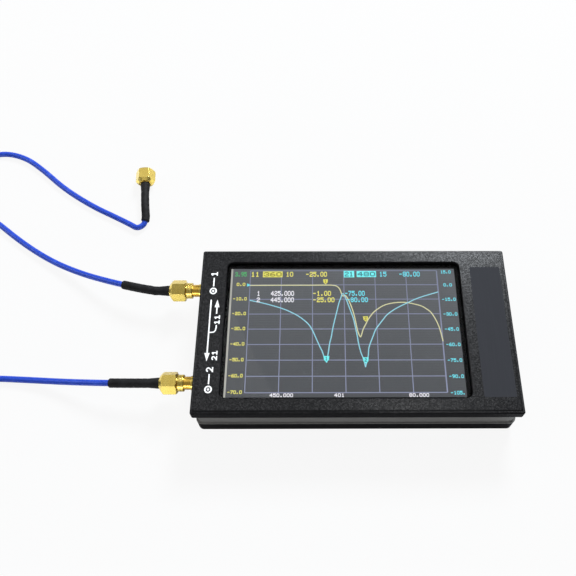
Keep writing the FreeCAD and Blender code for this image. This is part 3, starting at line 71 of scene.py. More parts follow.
def length(name, description, millimetres):
    return FloatProperty(
        name=name, description=description, default=millimetres * MM, min=0, unit="LENGTH",
        precision=5,
    )


def colour(name, description, red, green, blue):
    return FloatVectorProperty(
        name=name, description=description, default=(red, green, blue), min=0, max=1, size=3,
        subtype="COLOR",
    )


class AnalyzerSizes(bpy.types.PropertyGroup):
    """Sizes of the pieces that are added to the solids."""

    cord_diameter: length("Cord", "Diameter of the coaxial cord", 2.6)
    sleeve_lip: length("Sleeve lip", "Rounding at the free end of a shrink sleeve", 0.45)
    thread_pitch: length("Thread pitch", "Pitch of the ports' outside thread", 0.706)
    thread_depth: length("Thread depth", "Depth of the ports' outside thread", 0.38)
    glass_gap: length("Glass gap", "Bond line between display and touch glass", 0.12)
    glass_edge: length("Glass edge", "Polished bevel round the touch glass", 0.18)
    grid_width: length("Grid line", "Width of a grid line on the display", 0.34)
    trace_width: length("Trace", "Width of a measured trace on the display", 0.42)
    dot_bleed: length("Dot bleed", "Dots of the display's numbers beyond their cells", 0.062)
    ink_height: length("Ink", "Thickness of the print on the cover", 0.014)


class AnalyzerColours(bpy.types.PropertyGroup):
    """Colours of the finishes."""

    cover: colour("Cover paint", "Textured paint of both covers", 0.0050, 0.0050, 0.0057)
    band: colour("Side frame", "Paint of the side frame", 0.118, 0.117, 0.113)
    plate: colour("Blank plate", "Bare plate right of the display", 0.0275, 0.0285, 0.033)
    ink: colour("Print", "Print on the front cover", 0.84, 0.84, 0.84)
    gold: colour("Gold plate", "Ports and plugs", 0.80, 0.61, 0.15)
    jacket: colour("Cord jacket", "Jacket of the coaxial cords", 0.0112, 0.046, 0.38)
    sleeve: colour("Shrink sleeve", "Sleeves on the plugs", 0.0055, 0.0055, 0.006)
    lcd: colour("Display", "Lit background of the display", 0.109, 0.115, 0.125)
    grid: colour("Grid", "Grid lines of the display", 0.235, 0.255, 0.375)
    left_trace: colour("Left trace", "Trace of the left scale", 0.78, 0.75, 0.42)
    left_number: colour("Left numbers", "Numbers of the left scale", 0.92, 0.86, 0.17)
    right_trace: colour("Right trace", "Trace of the right scale", 0.33, 0.74, 0.87)
    right_number: colour("Right numbers", "Numbers of the right scale", 0.18, 0.82, 0.94)
    readout: colour("Read-out", "Plain numbers of the display", 0.92, 0.90, 1.0)
    charge: colour("Charge", "Battery number of the display", 0.09, 0.50, 0.16)
    board: colour("Circuit board", "Solder mask of the board", 0.010, 0.085, 0.028)
    table: colour("Table", "Table top", 0.80, 0.80, 0.80)


# ---------------------------------------------------------------- materials


class Field:
    """A socket of a node. Maths on it adds the nodes that work it out."""

    def __init__(self, finish, socket):
        self.finish, self.socket = finish, socket

    def maths(self, operation, *values):
        return self.finish.maths(operation, *values)

    def __add__(self, other):
        return self.maths("ADD", self, other)

    def __sub__(self, other):
        return self.maths("SUBTRACT", self, other)

    def __rsub__(self, other):
        return self.maths("SUBTRACT", other, self)

    def __mul__(self, other):
        return self.maths("MULTIPLY", self, other)

    def __gt__(self, other):
        return self.maths("GREATER_THAN", self, other)

    def __lt__(self, other):
        return self.maths("LESS_THAN", self, other)

    __radd__ = __add__
    __rmul__ = __mul__

    def waves(self, period):
        """Sine wave of that period, in metres."""
        return self.maths("SINE", self * (2 * math.pi / period))

    def clipped(self):
        return self.maths("MINIMUM", self.maths("MAXIMUM", self, 0.0), 1.0)

    def ramp(self, low, high):
        """0 below low, 1 above high."""
        return self.finish.add(
            "ShaderNodeMapRange",
            {"clamp": True},
            {"Value": self, "From Min": low, "From Max": high},
        )

    def within(self, start, full, falling, end):
        """0 up to start, 1 from full to falling, and 0 again from end."""
        return self.ramp(start, full) * (1 - self.ramp(falling, end))


class Finish:
    """The node tree of one material, or of the world."""

    def __init__(self, name, tree=None):
        if tree is None:
            self.material = bpy.data.materials.new(name)
            self.material.use_nodes = True
            tree = self.material.node_tree
        self.tree = tree
        self.tree.nodes.clear()
        self.place = self.add("ShaderNodeTexCoord", output="Object")

    def add(self, kind, settings=None, inputs=None, output=0):
        """Adds a node: its settings first, then its sockets. Gives back one output, or the node
        itself where output is None."""
        node = self.tree.nodes.new(kind)
        for name, value in (settings or {}).items():
            setattr(node, name, value)
        for key, value in (inputs or {}).items():
            if isinstance(value, Field):
                self.tree.links.new(value.socket, node.inputs[key])
            else:
                node.inputs[key].default_value = value
        return Field(self, node.outputs[output]) if output is not None else node

    def maths(self, operation, *values):
        return self.add("ShaderNodeMath", {"operation": operation}, dict(enumerate(values)))

    def along(self):
        """X, Y and Z of the point, in metres."""
        node = self.add("ShaderNodeSeparateXYZ", inputs={0: self.place}, output=None)
        return [Field(self, socket) for socket in node.outputs]

    def stretched(self, x, y, z):
        return self.add(
            "ShaderNodeVectorMath", {"operation": "MULTIPLY"}, {0: self.place, 1: (x, y, z)}
        )

    def noise(self, scale, detail, vector=None, roughness=0.5):
        inputs = {"Vector": vector or self.place, "Scale": scale}
        inputs.update({"Detail": detail, "Roughness": roughness})
        return self.add("ShaderNodeTexNoise", inputs=inputs)

    def cells(self, scale):
        return self.add("ShaderNodeTexVoronoi", inputs={"Vector": self.place, "Scale": scale})

    def mix(self, factor, first, second):
        """Colour between first and second."""
        inputs = {0: factor, 6: opaque(first), 7: opaque(second)}
        return self.add("ShaderNodeMix", {"data_type": "RGBA"}, inputs, 2)

    def bump(self, height, depth, strength, normal=None):
        """Bump of that depth in metres."""
        inputs = {"Height": height, "Distance": depth, "Strength": strength}
        if normal:
            inputs["Normal"] = normal
        return self.add("ShaderNodeBump", inputs=inputs)

    def soft_edges(self, radius):
        """Normal that rounds sharp edges, and a mask of those edges."""
        normal = self.add("ShaderNodeBevel", {"samples": 4}, {"Radius": radius})
        flat = self.add("ShaderNodeNewGeometry", output="True Normal")
        straight = self.add(
            "ShaderNodeVectorMath", {"operation": "DOT_PRODUCT"}, {0: normal, 1: flat}, "Value"
        )
        return normal, (1 - straight).ramp(0.02, 0.22)

    def surface(self, **sockets):
        """Ends the tree in a Principled shader with those sockets and gives the material."""
        inputs = {}
        for key, value in sockets.items():
            label = key.replace("_", " ").title().replace("Ior", "IOR")
            inputs[label] = opaque(value) if "Color" in label else value
        return self.end(self.add("ShaderNodeBsdfPrincipled", inputs=inputs))

    def end(self, shader):
        """Ends the tree in that shader and gives the material."""
        self.add("ShaderNodeOutputMaterial", inputs={"Surface": shader}, output=None)
        return self.material


def opaque(value):
    """A colour as a socket takes it."""
    return value if isinstance(value, Field) else (*value, 1.0)


def scaled(value, factor):
    return tuple(min(part * factor, 1.0) for part in value)


def powder_paint(name, paint, rim=None):
    """Textured powder paint: orange peel with glossy grains and worn edges. Where rim gives the
    half sizes of a top face, that face shines more, a line of painted shade runs inside its edge,
    and a painted highlight lies on the bevel at its edge."""
    work = Finish(name)
    coarse = work.noise(1350.0, 3.0, roughness=0.62)
    fine = work.noise(3240.0, 2.0)
    height = coarse * 0.7 + fine * 0.3
    grains = coarse.ramp(0.42, 0.64)
    specks = fine.ramp(0.46, 0.62)
    normal, edges = work.soft_edges(0.0003)
    worn = (edges * work.noise(420.0, 4.0).ramp(0.42, 0.66)).clipped()
    tone = work.mix(grains * 0.6 + specks * 0.4, scaled(paint, 0.45), scaled(paint, 1.9))
    tone = work.mix(work.noise(26.0, 3.0).ramp(0.35, 0.75) * 0.2, tone, scaled(paint, 1.6))
    shine = 0.02 + grains * 0.03
    if rim:
        # Where the top face and its bevel begin, and how wide the painted shade along the near and
        # right sides is.
        face_height, bevel_height, shaded_width = 0.02188, 0.0214, 0.0018
        x, y, z = work.along()
        near, right = rim[1] + y, rim[0] - x
        inward = work.maths("MINIMUM", near, right)
        for side in (rim[1] - y, rim[0] + x):
            inward = work.maths("MINIMUM", inward, side)
        top = z > face_height
        # Painted shade: a darker, less glossy line inside the top face's edge. It is strongest on
        # the near side, weaker on the right and faint on the others, where the bevel turns from the
        # light.
        band = inward.within(0.00080, 0.00098, 0.00145, 0.00162) * top
        shade_line = band * (0.15 + (near < shaded_width) * 0.75 + (right < shaded_width) * 0.25).clipped()
        # Painted highlight: a lighter line along the bevel at the top face's edge.
        edge = inward.within(0.00020, 0.00040, 0.00075, 0.00090) * (z > bevel_height)
        # On the near edge's left half, painted shade takes away that painted highlight, the wear
        # and most of the sheen; on the right the edge keeps its painted highlight.
        lip = (1 - inward.ramp(0.00075, 0.00090)) * (near < shaded_width) * (1 - x.ramp(0.0, 0.05))
        edge = edge * (1 - lip * 0.9) * 0.8
        worn = worn * (1 - lip)
        # Painted shade on the line inside the edge, and painted highlight on the bevel.
        tone = work.mix(shade_line, tone, scaled(paint, 0.30))
        tone = work.mix(edge * 0.8, tone, scaled(paint, 2.0))
        face = top * (0.19 + grains * 0.42 + specks * 0.34) * (1 - shade_line) * (1 - lip * 0.9)
        shine = shine + face + edge * 0.12
    tone = work.mix(worn * 0.4, tone, scaled(paint, 7.0))
    return work.surface(
        base_color=tone,
        roughness=0.62 + fine * 0.2 - worn * 0.1,
        specular_ior_level=0.04,
        coat_weight=shine.clipped(),
        coat_roughness=0.25,
        normal=work.bump(height, 0.00016, 0.8, normal),
    )


def fine_paint(name, paint):
    """Smoother satin paint on bent metal, with faint drawing lines."""
    work = Finish(name)
    lines = work.noise(1.0, 3.0, work.stretched(160.0, 160.0, 5200.0))
    grain = work.noise(3600.0, 2.0)
    normal, edges = work.soft_edges(0.0003)
    worn = (edges * work.noise(600.0, 3.0).ramp(0.45, 0.6)).clipped()
    tone = work.mix(lines.ramp(0.35, 0.65), scaled(paint, 0.88), scaled(paint, 1.12))
    tone = work.mix(worn * 0.35, tone, scaled(paint, 3.0))
    return work.surface(
        base_color=tone,
        roughness=0.46 + grain * 0.14 + lines * 0.06,
        specular_ior_level=0.2,
        normal=work.bump(lines * 0.4 + grain * 0.6, 0.00003, 0.6, normal),
    )


def gold_plate(name, gold, shaded_necks=False):
    """Gold on turned brass: fine lathe lines and a little tarnish; where shaded_necks is set,
    painted shade deepens the tone on the ports' necks."""
    work = Finish(name)
    lines = work.noise(1.0, 2.0, work.stretched(9000.0, 260.0, 260.0))
    haze = work.noise(900.0, 4.0)
    stains = work.noise(210.0, 3.0).ramp(0.45, 0.75)
    normal, edges = work.soft_edges(0.00016)
    deep = (gold[0] * 0.84, gold[1] * 0.70, gold[2] * 0.40)
    tone = work.mix(stains * 0.3, gold, deep)
    if shaded_necks:
        # Painted shade: a deeper, more orange tone on each port's neck.
        neck_shade = work.along()[0].within(-0.0687, -0.0684, -0.0657, -0.0654)
        tone = work.mix(neck_shade * 0.8, tone, (gold[0] * 0.9, gold[1] * 0.7, gold[2] * 0.4))
    tone = work.mix(edges * 0.35, tone, (1.0, 0.86, 0.46))
    return work.surface(
        base_color=tone,
        metallic=1.0,
        roughness=0.17 + haze * 0.12 + lines * 0.08,
        normal=work.bump(lines * 0.6 + haze * 0.4, 0.000012, 0.8, normal),
    )


def plain_metal(name, tone, roughness):
    """Tin plate, zinc or brass with rolling marks and dull spots."""
    work = Finish(name)
    marks = work.noise(1.0, 3.0, work.stretched(40.0, 2600.0, 40.0))
    spots = work.noise(320.0, 4.0).ramp(0.4, 0.7)
    normal, edges = work.soft_edges(0.00012)
    shade = work.mix(spots * 0.5, tone, scaled(tone, 0.72))
    return work.surface(
        base_color=work.mix(edges * 0.4, shade, scaled(tone, 1.3)),
        metallic=1.0,
        roughness=roughness + marks * 0.16 + spots * 0.08,
        normal=work.bump(marks, 0.000014, 0.7, normal),
    )


def moulded(name, tone, roughness=0.45):
    """Moulded plastic with a fine spark-eroded grain."""
    work = Finish(name)
    spark = work.noise(4200.0, 3.0, roughness=0.6)
    flow = work.noise(140.0, 2.0)
    normal, edges = work.soft_edges(0.0002)
    shade = work.mix(flow.ramp(0.3, 0.7) * 0.5, scaled(tone, 0.85), scaled(tone, 1.2))
    return work.surface(
        base_color=work.mix(edges * 0.3, shade, scaled(tone, 2.2)),
        roughness=roughness + spark * 0.2 - edges * 0.08,
        normal=work.bump(spark, 0.00003, 0.6, normal),
    )


def white_insulator(name):
    """Waxy white insulator of the ports and plugs."""
    work = Finish(name)
    lines = work.noise(1.0, 2.0, work.stretched(7000.0, 300.0, 300.0))
    dust = work.noise(800.0, 4.0).ramp(0.5, 0.8)
    return work.surface(
        base_color=work.mix(dust * 0.3, (0.80, 0.79, 0.74), (0.55, 0.53, 0.47)),
        roughness=0.42 + lines * 0.15,
        subsurface_weight=0.15,
        subsurface_scale=0.0008,
        normal=work.bump(lines, 0.00001, 0.5),
    )


def foam(name):
    """Closed-cell black foam."""
    work = Finish(name)
    pores = work.cells(3400.0)
    soft = work.noise(500.0, 2.0)
    return work.surface(
        base_color=work.mix(pores.ramp(0.1, 0.6), (0.004, 0.004, 0.004), (0.016, 0.016, 0.017)),
        roughness=0.86 + soft * 0.1,
        normal=work.bump(pores, 0.00008, 0.8),
    )


def circuit_board(name, mask):
    """Solder mask over copper runs and pads."""
    work = Finish(name)
    runs = work.noise(260.0, 1.0, work.stretched(1.0, 0.22, 1.0)).ramp(0.50, 0.53)
    crossing = work.noise(240.0, 1.0, work.stretched(0.22, 1.0, 1.0)).ramp(0.54, 0.57)
    copper = (runs + crossing).clipped()
    pads = (work.cells(430.0) < 0.14) * (1 - copper)
    shade = work.mix(copper, mask, scaled(mask, 2.0))
    shade = work.mix(pads, shade, (0.62, 0.60, 0.50))
    return work.surface(
        base_color=shade,
        metallic=pads * 0.9,
        roughness=0.34 + work.noise(1500.0, 2.0) * 0.14,
        normal=work.bump(copper + pads, 0.00003, 0.6),
    )


def chip_epoxy(name):
    """Black moulded chip package with a fine grain."""
    work = Finish(name)
    grain = work.noise(5200.0, 3.0)
    normal, edges = work.soft_edges(0.0002)
    shade = work.mix(grain.ramp(0.4, 0.6), (0.008, 0.008, 0.009), (0.018, 0.018, 0.019))
    return work.surface(
        base_color=work.mix(edges * 0.4, shade, (0.06, 0.06, 0.06)),
        roughness=0.5 + grain * 0.2,
        normal=work.bump(grain, 0.00002, 0.7, normal),
    )


def battery_film(name):
    """Crinkled silver pouch under a clear film."""
    work = Finish(name)
    crinkle = work.noise(130.0, 5.0, roughness=0.55)
    return work.surface(
        base_color=work.mix(crinkle.ramp(0.3, 0.7), (0.42, 0.43, 0.44), (0.62, 0.63, 0.64)),
        metallic=0.85,
        roughness=0.28 + crinkle * 0.2,
        normal=work.bump(crinkle, 0.0003, 0.5),
    )


def flex_film(name):
    """Amber flexible film with copper runs under it."""
    work = Finish(name)
    runs = work.along()[1].waves(0.0005).ramp(-0.1, 0.3)
    return work.surface(
        base_color=work.mix(runs, (0.20, 0.075, 0.010), (0.42, 0.19, 0.030)),
        roughness=0.32 + work.noise(700.0, 2.0) * 0.12,
        normal=work.bump(runs, 0.00002, 0.5),
    )


def light_pipe(name):
    """Milky status light."""
    work = Finish(name)
    cloud = work.noise(900.0, 3.0)
    return work.surface(
        base_color=work.mix(cloud, (0.62, 0.64, 0.66), (0.82, 0.84, 0.86)),
        roughness=0.22 + cloud * 0.1,
        subsurface_weight=0.4,
        subsurface_scale=0.002,
        coat_weight=0.4,
    )


def cord_jacket(name, jacket):
    """Smooth blue jacket with faint braid showing through and slight scuffs."""
    work = Finish(name)
    ripple = work.noise(1500.0, 2.0)
    scuffs = work.noise(260.0, 4.0).ramp(0.56, 0.78)
    shade = work.mix(ripple.ramp(0.35, 0.65), scaled(jacket, 0.90), scaled(jacket, 1.10))
    return work.surface(
        base_color=work.mix(scuffs * 0.25, shade, (0.06, 0.15, 0.72)),
        roughness=0.30 + scuffs * 0.22 + ripple * 0.06,
        coat_weight=0.12,
        coat_roughness=0.22,
        specular_ior_level=0.25,
        normal=work.bump(ripple, 0.00002, 0.6),
    )


def shrink_rubber(name, tone):
    """Dull black shrink sleeve, slightly wrinkled."""
    work = Finish(name)
    grain = work.noise(3400.0, 3.0)
    folds = work.noise(360.0, 3.0)
    return work.surface(
        base_color=work.mix(folds.ramp(0.35, 0.7), scaled(tone, 0.8), scaled(tone, 2.1)),
        roughness=0.52 + grain * 0.16 + folds * 0.14,
        specular_ior_level=0.14,
        normal=work.bump(folds * 0.6 + grain * 0.4, 0.00012, 0.8),
    )


def display(name, tone):
    """Lit display with its dark border and the pale strip at its left edge; its rows show as
    faint lines."""
    work = Finish(name)
    x, y = work.along()[:2]
    left, right, near, far = (edge * MM for edge in LIT)
    inside = (x > left) * (x < right) * (y > near) * (y < far)
    rows = 1 + y.waves(0.0011) * 0.045
    glow = rows * (0.72 + y.ramp(near, far) * 0.33 + work.noise(60.0, 2.0) * 0.06)
    seen = work.mix(glow * 0.5, BLACK, scaled(tone, 2.0))
    strip = (x > left) * (x < left + 0.00075)
    seen = work.mix(strip * 0.85, seen, (0.52, 0.51, 0.46))
    grain = work.noise(900.0, 2.0)
    return work.surface(
        base_color=work.mix(inside, (0.002, 0.002, 0.0025), (0.006, 0.006, 0.007)),
        roughness=0.50 + grain * 0.1,
        specular_ior_level=0.06,
        emission_color=work.mix(inside, BLACK, seen),
        emission_strength=1.0,
    )


def glow(name, tone, near=1.0):
    """Lit line or number of the display, drawn in rows; near is its strength at the near side."""
    work = Finish(name)
    y = work.along()[1]
    rows = y.waves(0.00035) * 0.06 + 0.94
    rows = rows * (near - y.ramp(LIT[2] * MM, LIT[3] * MM) * (near - 1.0))
    return work.surface(
        base_color=(0.004, 0.004, 0.004),
        roughness=0.5,
        specular_ior_level=0.06,
        emission_color=work.mix(rows * 0.5, BLACK, tuple(part * 2 for part in tone)),
        emission_strength=1.0,
    )


def touch_glass(name):
    """Clear touch glass with a coating against reflections and a faint smear."""
    work = Finish(name)
    smear = work.noise(38.0, 4.0).ramp(0.5, 0.8)
    return work.surface(
        base_color=(0.97, 0.98, 0.98),
        roughness=smear * 0.035,
        ior=1.22,
        specular_ior_level=0.3,
        transmission_weight=1.0,
    )


def printed_ink(name, tone):
    """Flat screen print with slightly open edges."""
    work = Finish(name)
    open_ink = work.noise(2600.0, 4.0).ramp(0.60, 0.72)
    return work.surface(
        base_color=work.mix(open_ink * 0.35, tone, scaled(tone, 0.62)),
        roughness=0.5 + open_ink * 0.15,
        normal=work.bump(work.noise(2300.0, 3.0), 0.00005, 0.5),
    )


def satin_plate(name, tone):
    """Bare satin plate with a brushed face."""
    work = Finish(name)
    brushed = work.noise(1.0, 3.0, work.stretched(2600.0, 60.0, 60.0))
    return work.surface(
        base_color=work.mix(brushed.ramp(0.3, 0.7), scaled(tone, 0.95), scaled(tone, 1.05)),
        roughness=0.78 + brushed * 0.1,
        specular_ior_level=0.08,
        normal=work.bump(brushed, 0.000006, 0.5),
    )


def table_top(name, tone):
    """Matte table that looks white to the eye, also through the glass, and keeps a faint
    shadow."""
    work = Finish(name)
    mottle = work.noise(9.0, 3.0)
    paint = work.mix(mottle, scaled(tone, 0.995), scaled(tone, 1.005))
    matte = work.add("ShaderNodeBsdfDiffuse", inputs={"Color": paint, "Roughness": 0.5})
    just_white = {"Color": opaque((1.0, 1.0, 1.0)), "Strength": 0.965}
    white = work.add("ShaderNodeEmission", inputs=just_white)
    straight = work.add("ShaderNodeLightPath", output="Is Camera Ray")
    through = work.add("ShaderNodeLightPath", output="Is Transmission Ray")
    seen = (straight + through).clipped()
    shader = work.add("ShaderNodeMixShader", inputs={0: seen * 0.94, 1: matte, 2: white})
    return work.end(shader)


# ---------------------------------------------------------------- meshes


def add_object(context, name, data):
    piece = bpy.data.objects.new(name, data)
    context.scene.collection.objects.link(piece)
    return piece


def add_mesh(context, name, shape, material, smooth=None):
    """Turns a bmesh into an object; smooth is the angle in degrees up to which it is rounded."""
    bmesh.ops.recalc_face_normals(shape, faces=shape.faces)
    data = bpy.data.meshes.new(name)
    shape.to_mesh(data)
    shape.free()
    data.materials.append(material)
    if smooth is not None:
        data.shade_smooth()
        data.set_sharp_from_angle(angle=math.radians(smooth))
    return add_object(context, name, data)


def finish_nodes(material, *nodes):
    """Gives CAD nodes their material."""
    for node in nodes:
        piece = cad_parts[node]
        if not piece.material_slots:
            piece.data.materials.append(material)
        for place in piece.material_slots:
            place.material = material


def join_loops(shape, *loops):
    """Faces between closed loops of as many points, each joined to the next."""
    for first, second in zip(loops, loops[1:]):
        for index in range(len(first)):
            after = (index + 1) % len(first)
            shape.faces.new((first[index], first[after], second[after], second[index]))


def add_loop(shape, outline, level):
    return [shape.verts.new((x * MM, y * MM, level * MM)) for x, y in outline]


def add_prism(shape, outline, low, high):
    """Closed prism over an outline in millimetres."""
    below, above = add_loop(shape, outline, low), add_loop(shape, outline, high)
    shape.faces.new(list(reversed(below)))
    shape.faces.new(above)
    join_loops(shape, below, above)


def add_block(shape, left, near, right, far, low, high):
    add_prism(shape, ((left, near), (right, near), (right, far), (left, far)), low, high)


def add_strip(shape, line, width, low, high):
    """Closed flat strip of that width along a line of points in millimetres."""
    sides = ([], [])
    for index, point in enumerate(line):
        before, after = line[max(index - 1, 0)], line[min(index + 1, len(line) - 1)]
        run = Vector((after[0] - before[0], after[1] - before[1])).normalized()
        for side, sign in zip(sides, (1, -1)):
            side.append((point[0] - sign * run.y * width / 2, point[1] + sign * run.x * width / 2))
    loops = []
    for left, right in zip(*sides):
        corners = ((left, low), (right, low), (right, high), (left, high))
        loops.append([shape.verts.new((x * MM, y * MM, z * MM)) for (x, y), z in corners])
    join_loops(shape, *loops)
    shape.faces.new(loops[0])
    shape.faces.new(list(reversed(loops[-1])))


def smoothed(points, steps=9):
    """Points of a smooth line through given ones."""
    ends = [points[0], *points, points[-1]]
    line = []
    for index in range(len(points) - 1):
        a, b, c, d = (Vector(point) for point in ends[index : index + 4])
        for step in range(steps):
            t = step / steps
            place = 2 * b + (c - a) * t + (2 * a - 5 * b + 4 * c - d) * t**2
            line.append(0.5 * (place + (3 * b - a - 3 * c + d) * t**3))
    return [tuple(point) for point in line] + [points[-1]]


# Numbers of the display in dots, five across and seven down.
DOTS = {
    "0": " ### |#   #|#   #|#   #|#   #|#   #| ### ",
    "1": "  #  | ##  |  #  |  #  |  #  |  #  | ### ",
    "2": " ### |#   #|    #|  ## | #   |#    |#####",
    "3": " ### |#   #|    #|  ## |    #|#   #| ### ",
    "4": "   # |  ## | # # |#  # |#####|   # |   # ",
    "5": "#####|#    |#### |    #|    #|#   #| ### ",
    "6": "  ## | #   |#    |#### |#   #|#   #| ### ",
    "7": "#####|    #|   # |  #  |  #  | #   | #   ",
    "8": " ### |#   #|#   #| ### |#   #|#   #| ### ",
    "9": " ### |#   #|#   #| ####|    #|   # | ##  ",
    "-": "     |     |     |#### |     |     |     ",
    ".": "     |     |     |     |     | ##  | ##  ",
}


def add_number(shape, text, box, low, high):
    """Number in dots that fills a box (left, near, right, far) in millimetres. A run of dots in
    a row is one block."""
    left, near, right, far = box
    across, down = (right - left) / (6 * len(text) - 1), (far - near) / 7
    bleed = bpy.context.scene.analyzer_sizes.dot_bleed / MM
    for place, figure in enumerate(text):
        for row, dots in enumerate(DOTS[figure].split("|")):
            column = 0
            while column < 5:
                run = len(dots[column:]) - len(dots[column:].lstrip("#"))
                if run:
                    start = left + (6 * place + column) * across
                    add_block(
                        shape, start - bleed / 2, far - (row + 1) * down - bleed,
                        start + run * across + bleed / 2, far - row * down + bleed, low, high,
                    )
                column += max(run, 1)


# Printed numbers as strokes in a cell one wide and one high, the foot at 0.
STROKES = {
    "1": (((0.0, 0.74), (0.5, 1.04)), ((0.5, 1.1), (0.5, 0.0)), ((-0.1, 0.0), (1.1, 0.0))),
    "2": (
        (
            (0.03, 0.74), (0.12, 0.93), (0.42, 1.0), (0.75, 0.94), (0.92, 0.75), (0.80, 0.52),
            (0.45, 0.27), (0.08, 0.02),
        ),
        ((-0.2, 0.0), (1.15, 0.0)),
    ),
}


def add_printed(shape, text, box, stroke, low, high):
    """Printed number that reads upward, so its foot is on the right of the box."""
    left, near, right, far = box
    gap = 0.85 * stroke
    width = (far - near + gap) / len(text) - gap
    for place, figure in enumerate(text):
        start = near + place * (width + gap) + stroke / 2
        for layer, line in enumerate(STROKES[figure]):
            spots = [
                (right - stroke / 2 - v * (right - left - stroke), start + u * (width - stroke))
                for u, v in line
            ]
            smooth = smoothed(spots, 5) if len(spots) > 3 else spots
            add_strip(shape, smooth, stroke, low, high + 0.0004 * layer)


def circle(x, y, radius, steps=32):
    """Outline of a circle in millimetres."""
    turns = (2 * math.pi * step / steps for step in range(steps))
    return [(x + radius * math.cos(turn), y + radius * math.sin(turn)) for turn in turns]


def add_ring(shape, x, y, inner, outer, low, high):
    """Closed flat ring."""
    section = ((outer, low), (outer, high), (inner, high), (inner, low))
    loops = [add_loop(shape, circle(x, y, radius), level) for radius, level in section]
    join_loops(shape, *loops, loops[0])


def add_turned(shape, profile, middle, pitch):
    """Turns a closed profile about a line along X. A profile point is (along, radius, cut):
    where cut is above 0, a thread of that depth runs round the surface there."""
    steps = 64
    rings = []
    for step in range(steps):
        turn = 2 * math.pi * step / steps
        ring = []
        for along, radius, cut in profile:
            tooth = abs(2 * ((along / pitch - step / steps) % 1.0) - 1)
            radius -= cut * tooth
            place = (along, radius * math.cos(turn), radius * math.sin(turn))
            ring.append(shape.verts.new((Vector(place) + Vector(middle)) * MM))
        rings.append(ring)
    join_loops(shape, *rings, rings[0])


def line_of(curve):
    """Points of a cord's own smooth line."""
    plain = curve.data.copy()
    plain.bevel_depth = 0
    holder = bpy.data.objects.new("line", plain)
    data = bpy.data.meshes.new_from_object(holder)
    points = [vertex.co.copy() for vertex in data.vertices]
    bpy.data.objects.remove(holder)
    bpy.data.curves.remove(plain)
    bpy.data.meshes.remove(data)
    return points


def walk(points, stops):
    """Places at those distances along a line, each with the line's direction there."""
    found = []
    reached, index = 0.0, 0
    run = points[1] - points[0]
    for stop in stops:
        while index < len(points) - 2 and reached + run.length < stop:
            reached += run.length
            index += 1
            run = points[index + 1] - points[index]
        found.append((points[index] + run.normalized() * (stop - reached), run.normalized()))
    return found


# ---------------------------------------------------------------- operators


class ANALYZER_OT_camera(bpy.types.Operator):
    """Sets the camera above the near side, looking down at the display"""

    bl_idname = "analyzer.camera"
    bl_label = "Camera"

    # Where it stands in millimetres, and in degrees how it is turned, looks down and rolls.
    PLACE = (-14.64, -117.63, 289.10)
    TURN, DOWN, ROLL = -0.415, 60.526, 0.274

    def execute(self, context):
        data = bpy.data.cameras.new("camera")
        data.sensor_width, data.lens = 36.0, 45.30
        data.shift_x, data.shift_y = -0.05774, -0.0573
        data.clip_start, data.clip_end = 0.01, 20.0
        camera = add_object(context, "camera", data)
        turn = Matrix.Rotation(math.radians(self.TURN), 4, "Z")
        tilt = Matrix.Rotation(math.radians(90 - self.DOWN), 4, "X")
        roll = Matrix.Rotation(math.radians(self.ROLL), 4, "Z")
        place = Matrix.Translation(Vector(self.PLACE) * MM)
        camera.matrix_world = place @ turn @ tilt @ roll
        context.scene.camera = camera
        return {"FINISHED"}


# All in millimetres: the height of a cord's middle where it lies on the table and of a loose
# plug's axis, and the points that each cord's smooth line is drawn along.
LYING = 1.32
LOOSE = 4.02

LEAD_1 = (
    (-80.0, 22.0, 11.0), (-84.5, 22.0, 11.0), (-92.0, 23.5, 10.7), (-104.4, 27.4, 8.6),
    (-119.7, 33.7, 4.4), (-135.5, 41.5, 1.9), (-151.5, 52.0, LYING), (-167.5, 64.9, LYING),
    (-183.8, 74.2, LYING), (-187.6, 86.1, LYING), (-182.8, 97.7, LYING), (-171.7, 103.4, LYING),
    (-159.3, 100.6, LYING), (-148.5, 92.5, LYING), (-137.0, 81.9, LYING), (-122.0, 71.8, LYING),
    (-109.3, 65.2, 1.4), (-102.3, 61.3, 1.6), (-98.6, 58.9, 1.75), (-94.9, 62.0, 2.1),
    (-96.431, 71.833, LOOSE), (-97.2, 80.8, LOOSE),
)
LEAD_2_OUT = (
    (-80.0, -19.3, 11.0), (-91.5, -19.3, 11.0), (-105.5, -18.2, 8.4), (-120.5, -16.2, 4.2),
    (-136.0, -14.5, 1.8), (-151.0, -13.6, LYING), (-167.0, -14.2, LYING),
)
LEAD_2_TAIL = (
    (-179.9, -44.4, LYING), (-175.2, -48.2, 1.6), (-169.9, -51.6, 2.7),
    (-161.303, -54.629, LOOSE), (-152.5, -56.5, LOOSE),
)


def eased(value, start, end):
    """0 at start, 1 at end, and level at both."""
    share = min(max((value - start) / (end - start), 0.0), 1.0)
    return share * share * (3 - 2 * share)


def coil_route():
    """Lead 2's put-away turns: once round, up over the strand that comes in, and down beside
    the first turn."""
    # The smooth line cuts the corners of its points, so they stand a little outside it.
    outside = 1.0196
    for step in range(23):
        angle = 90 + 22.5 * step
        radius = 15.2 - 1.4 * eased(angle, 90, 150) + 2.6 * eased(angle, 360, 432)
        rise = eased(angle, 335, 408) * (1 - eased(angle, 448, 530))
        turn = math.radians(angle)
        x = -173.5 + radius * outside * math.cos(turn)
        y = -29.4 + radius * outside * math.sin(turn)
        yield (x, y, LYING + 2.95 * rise)


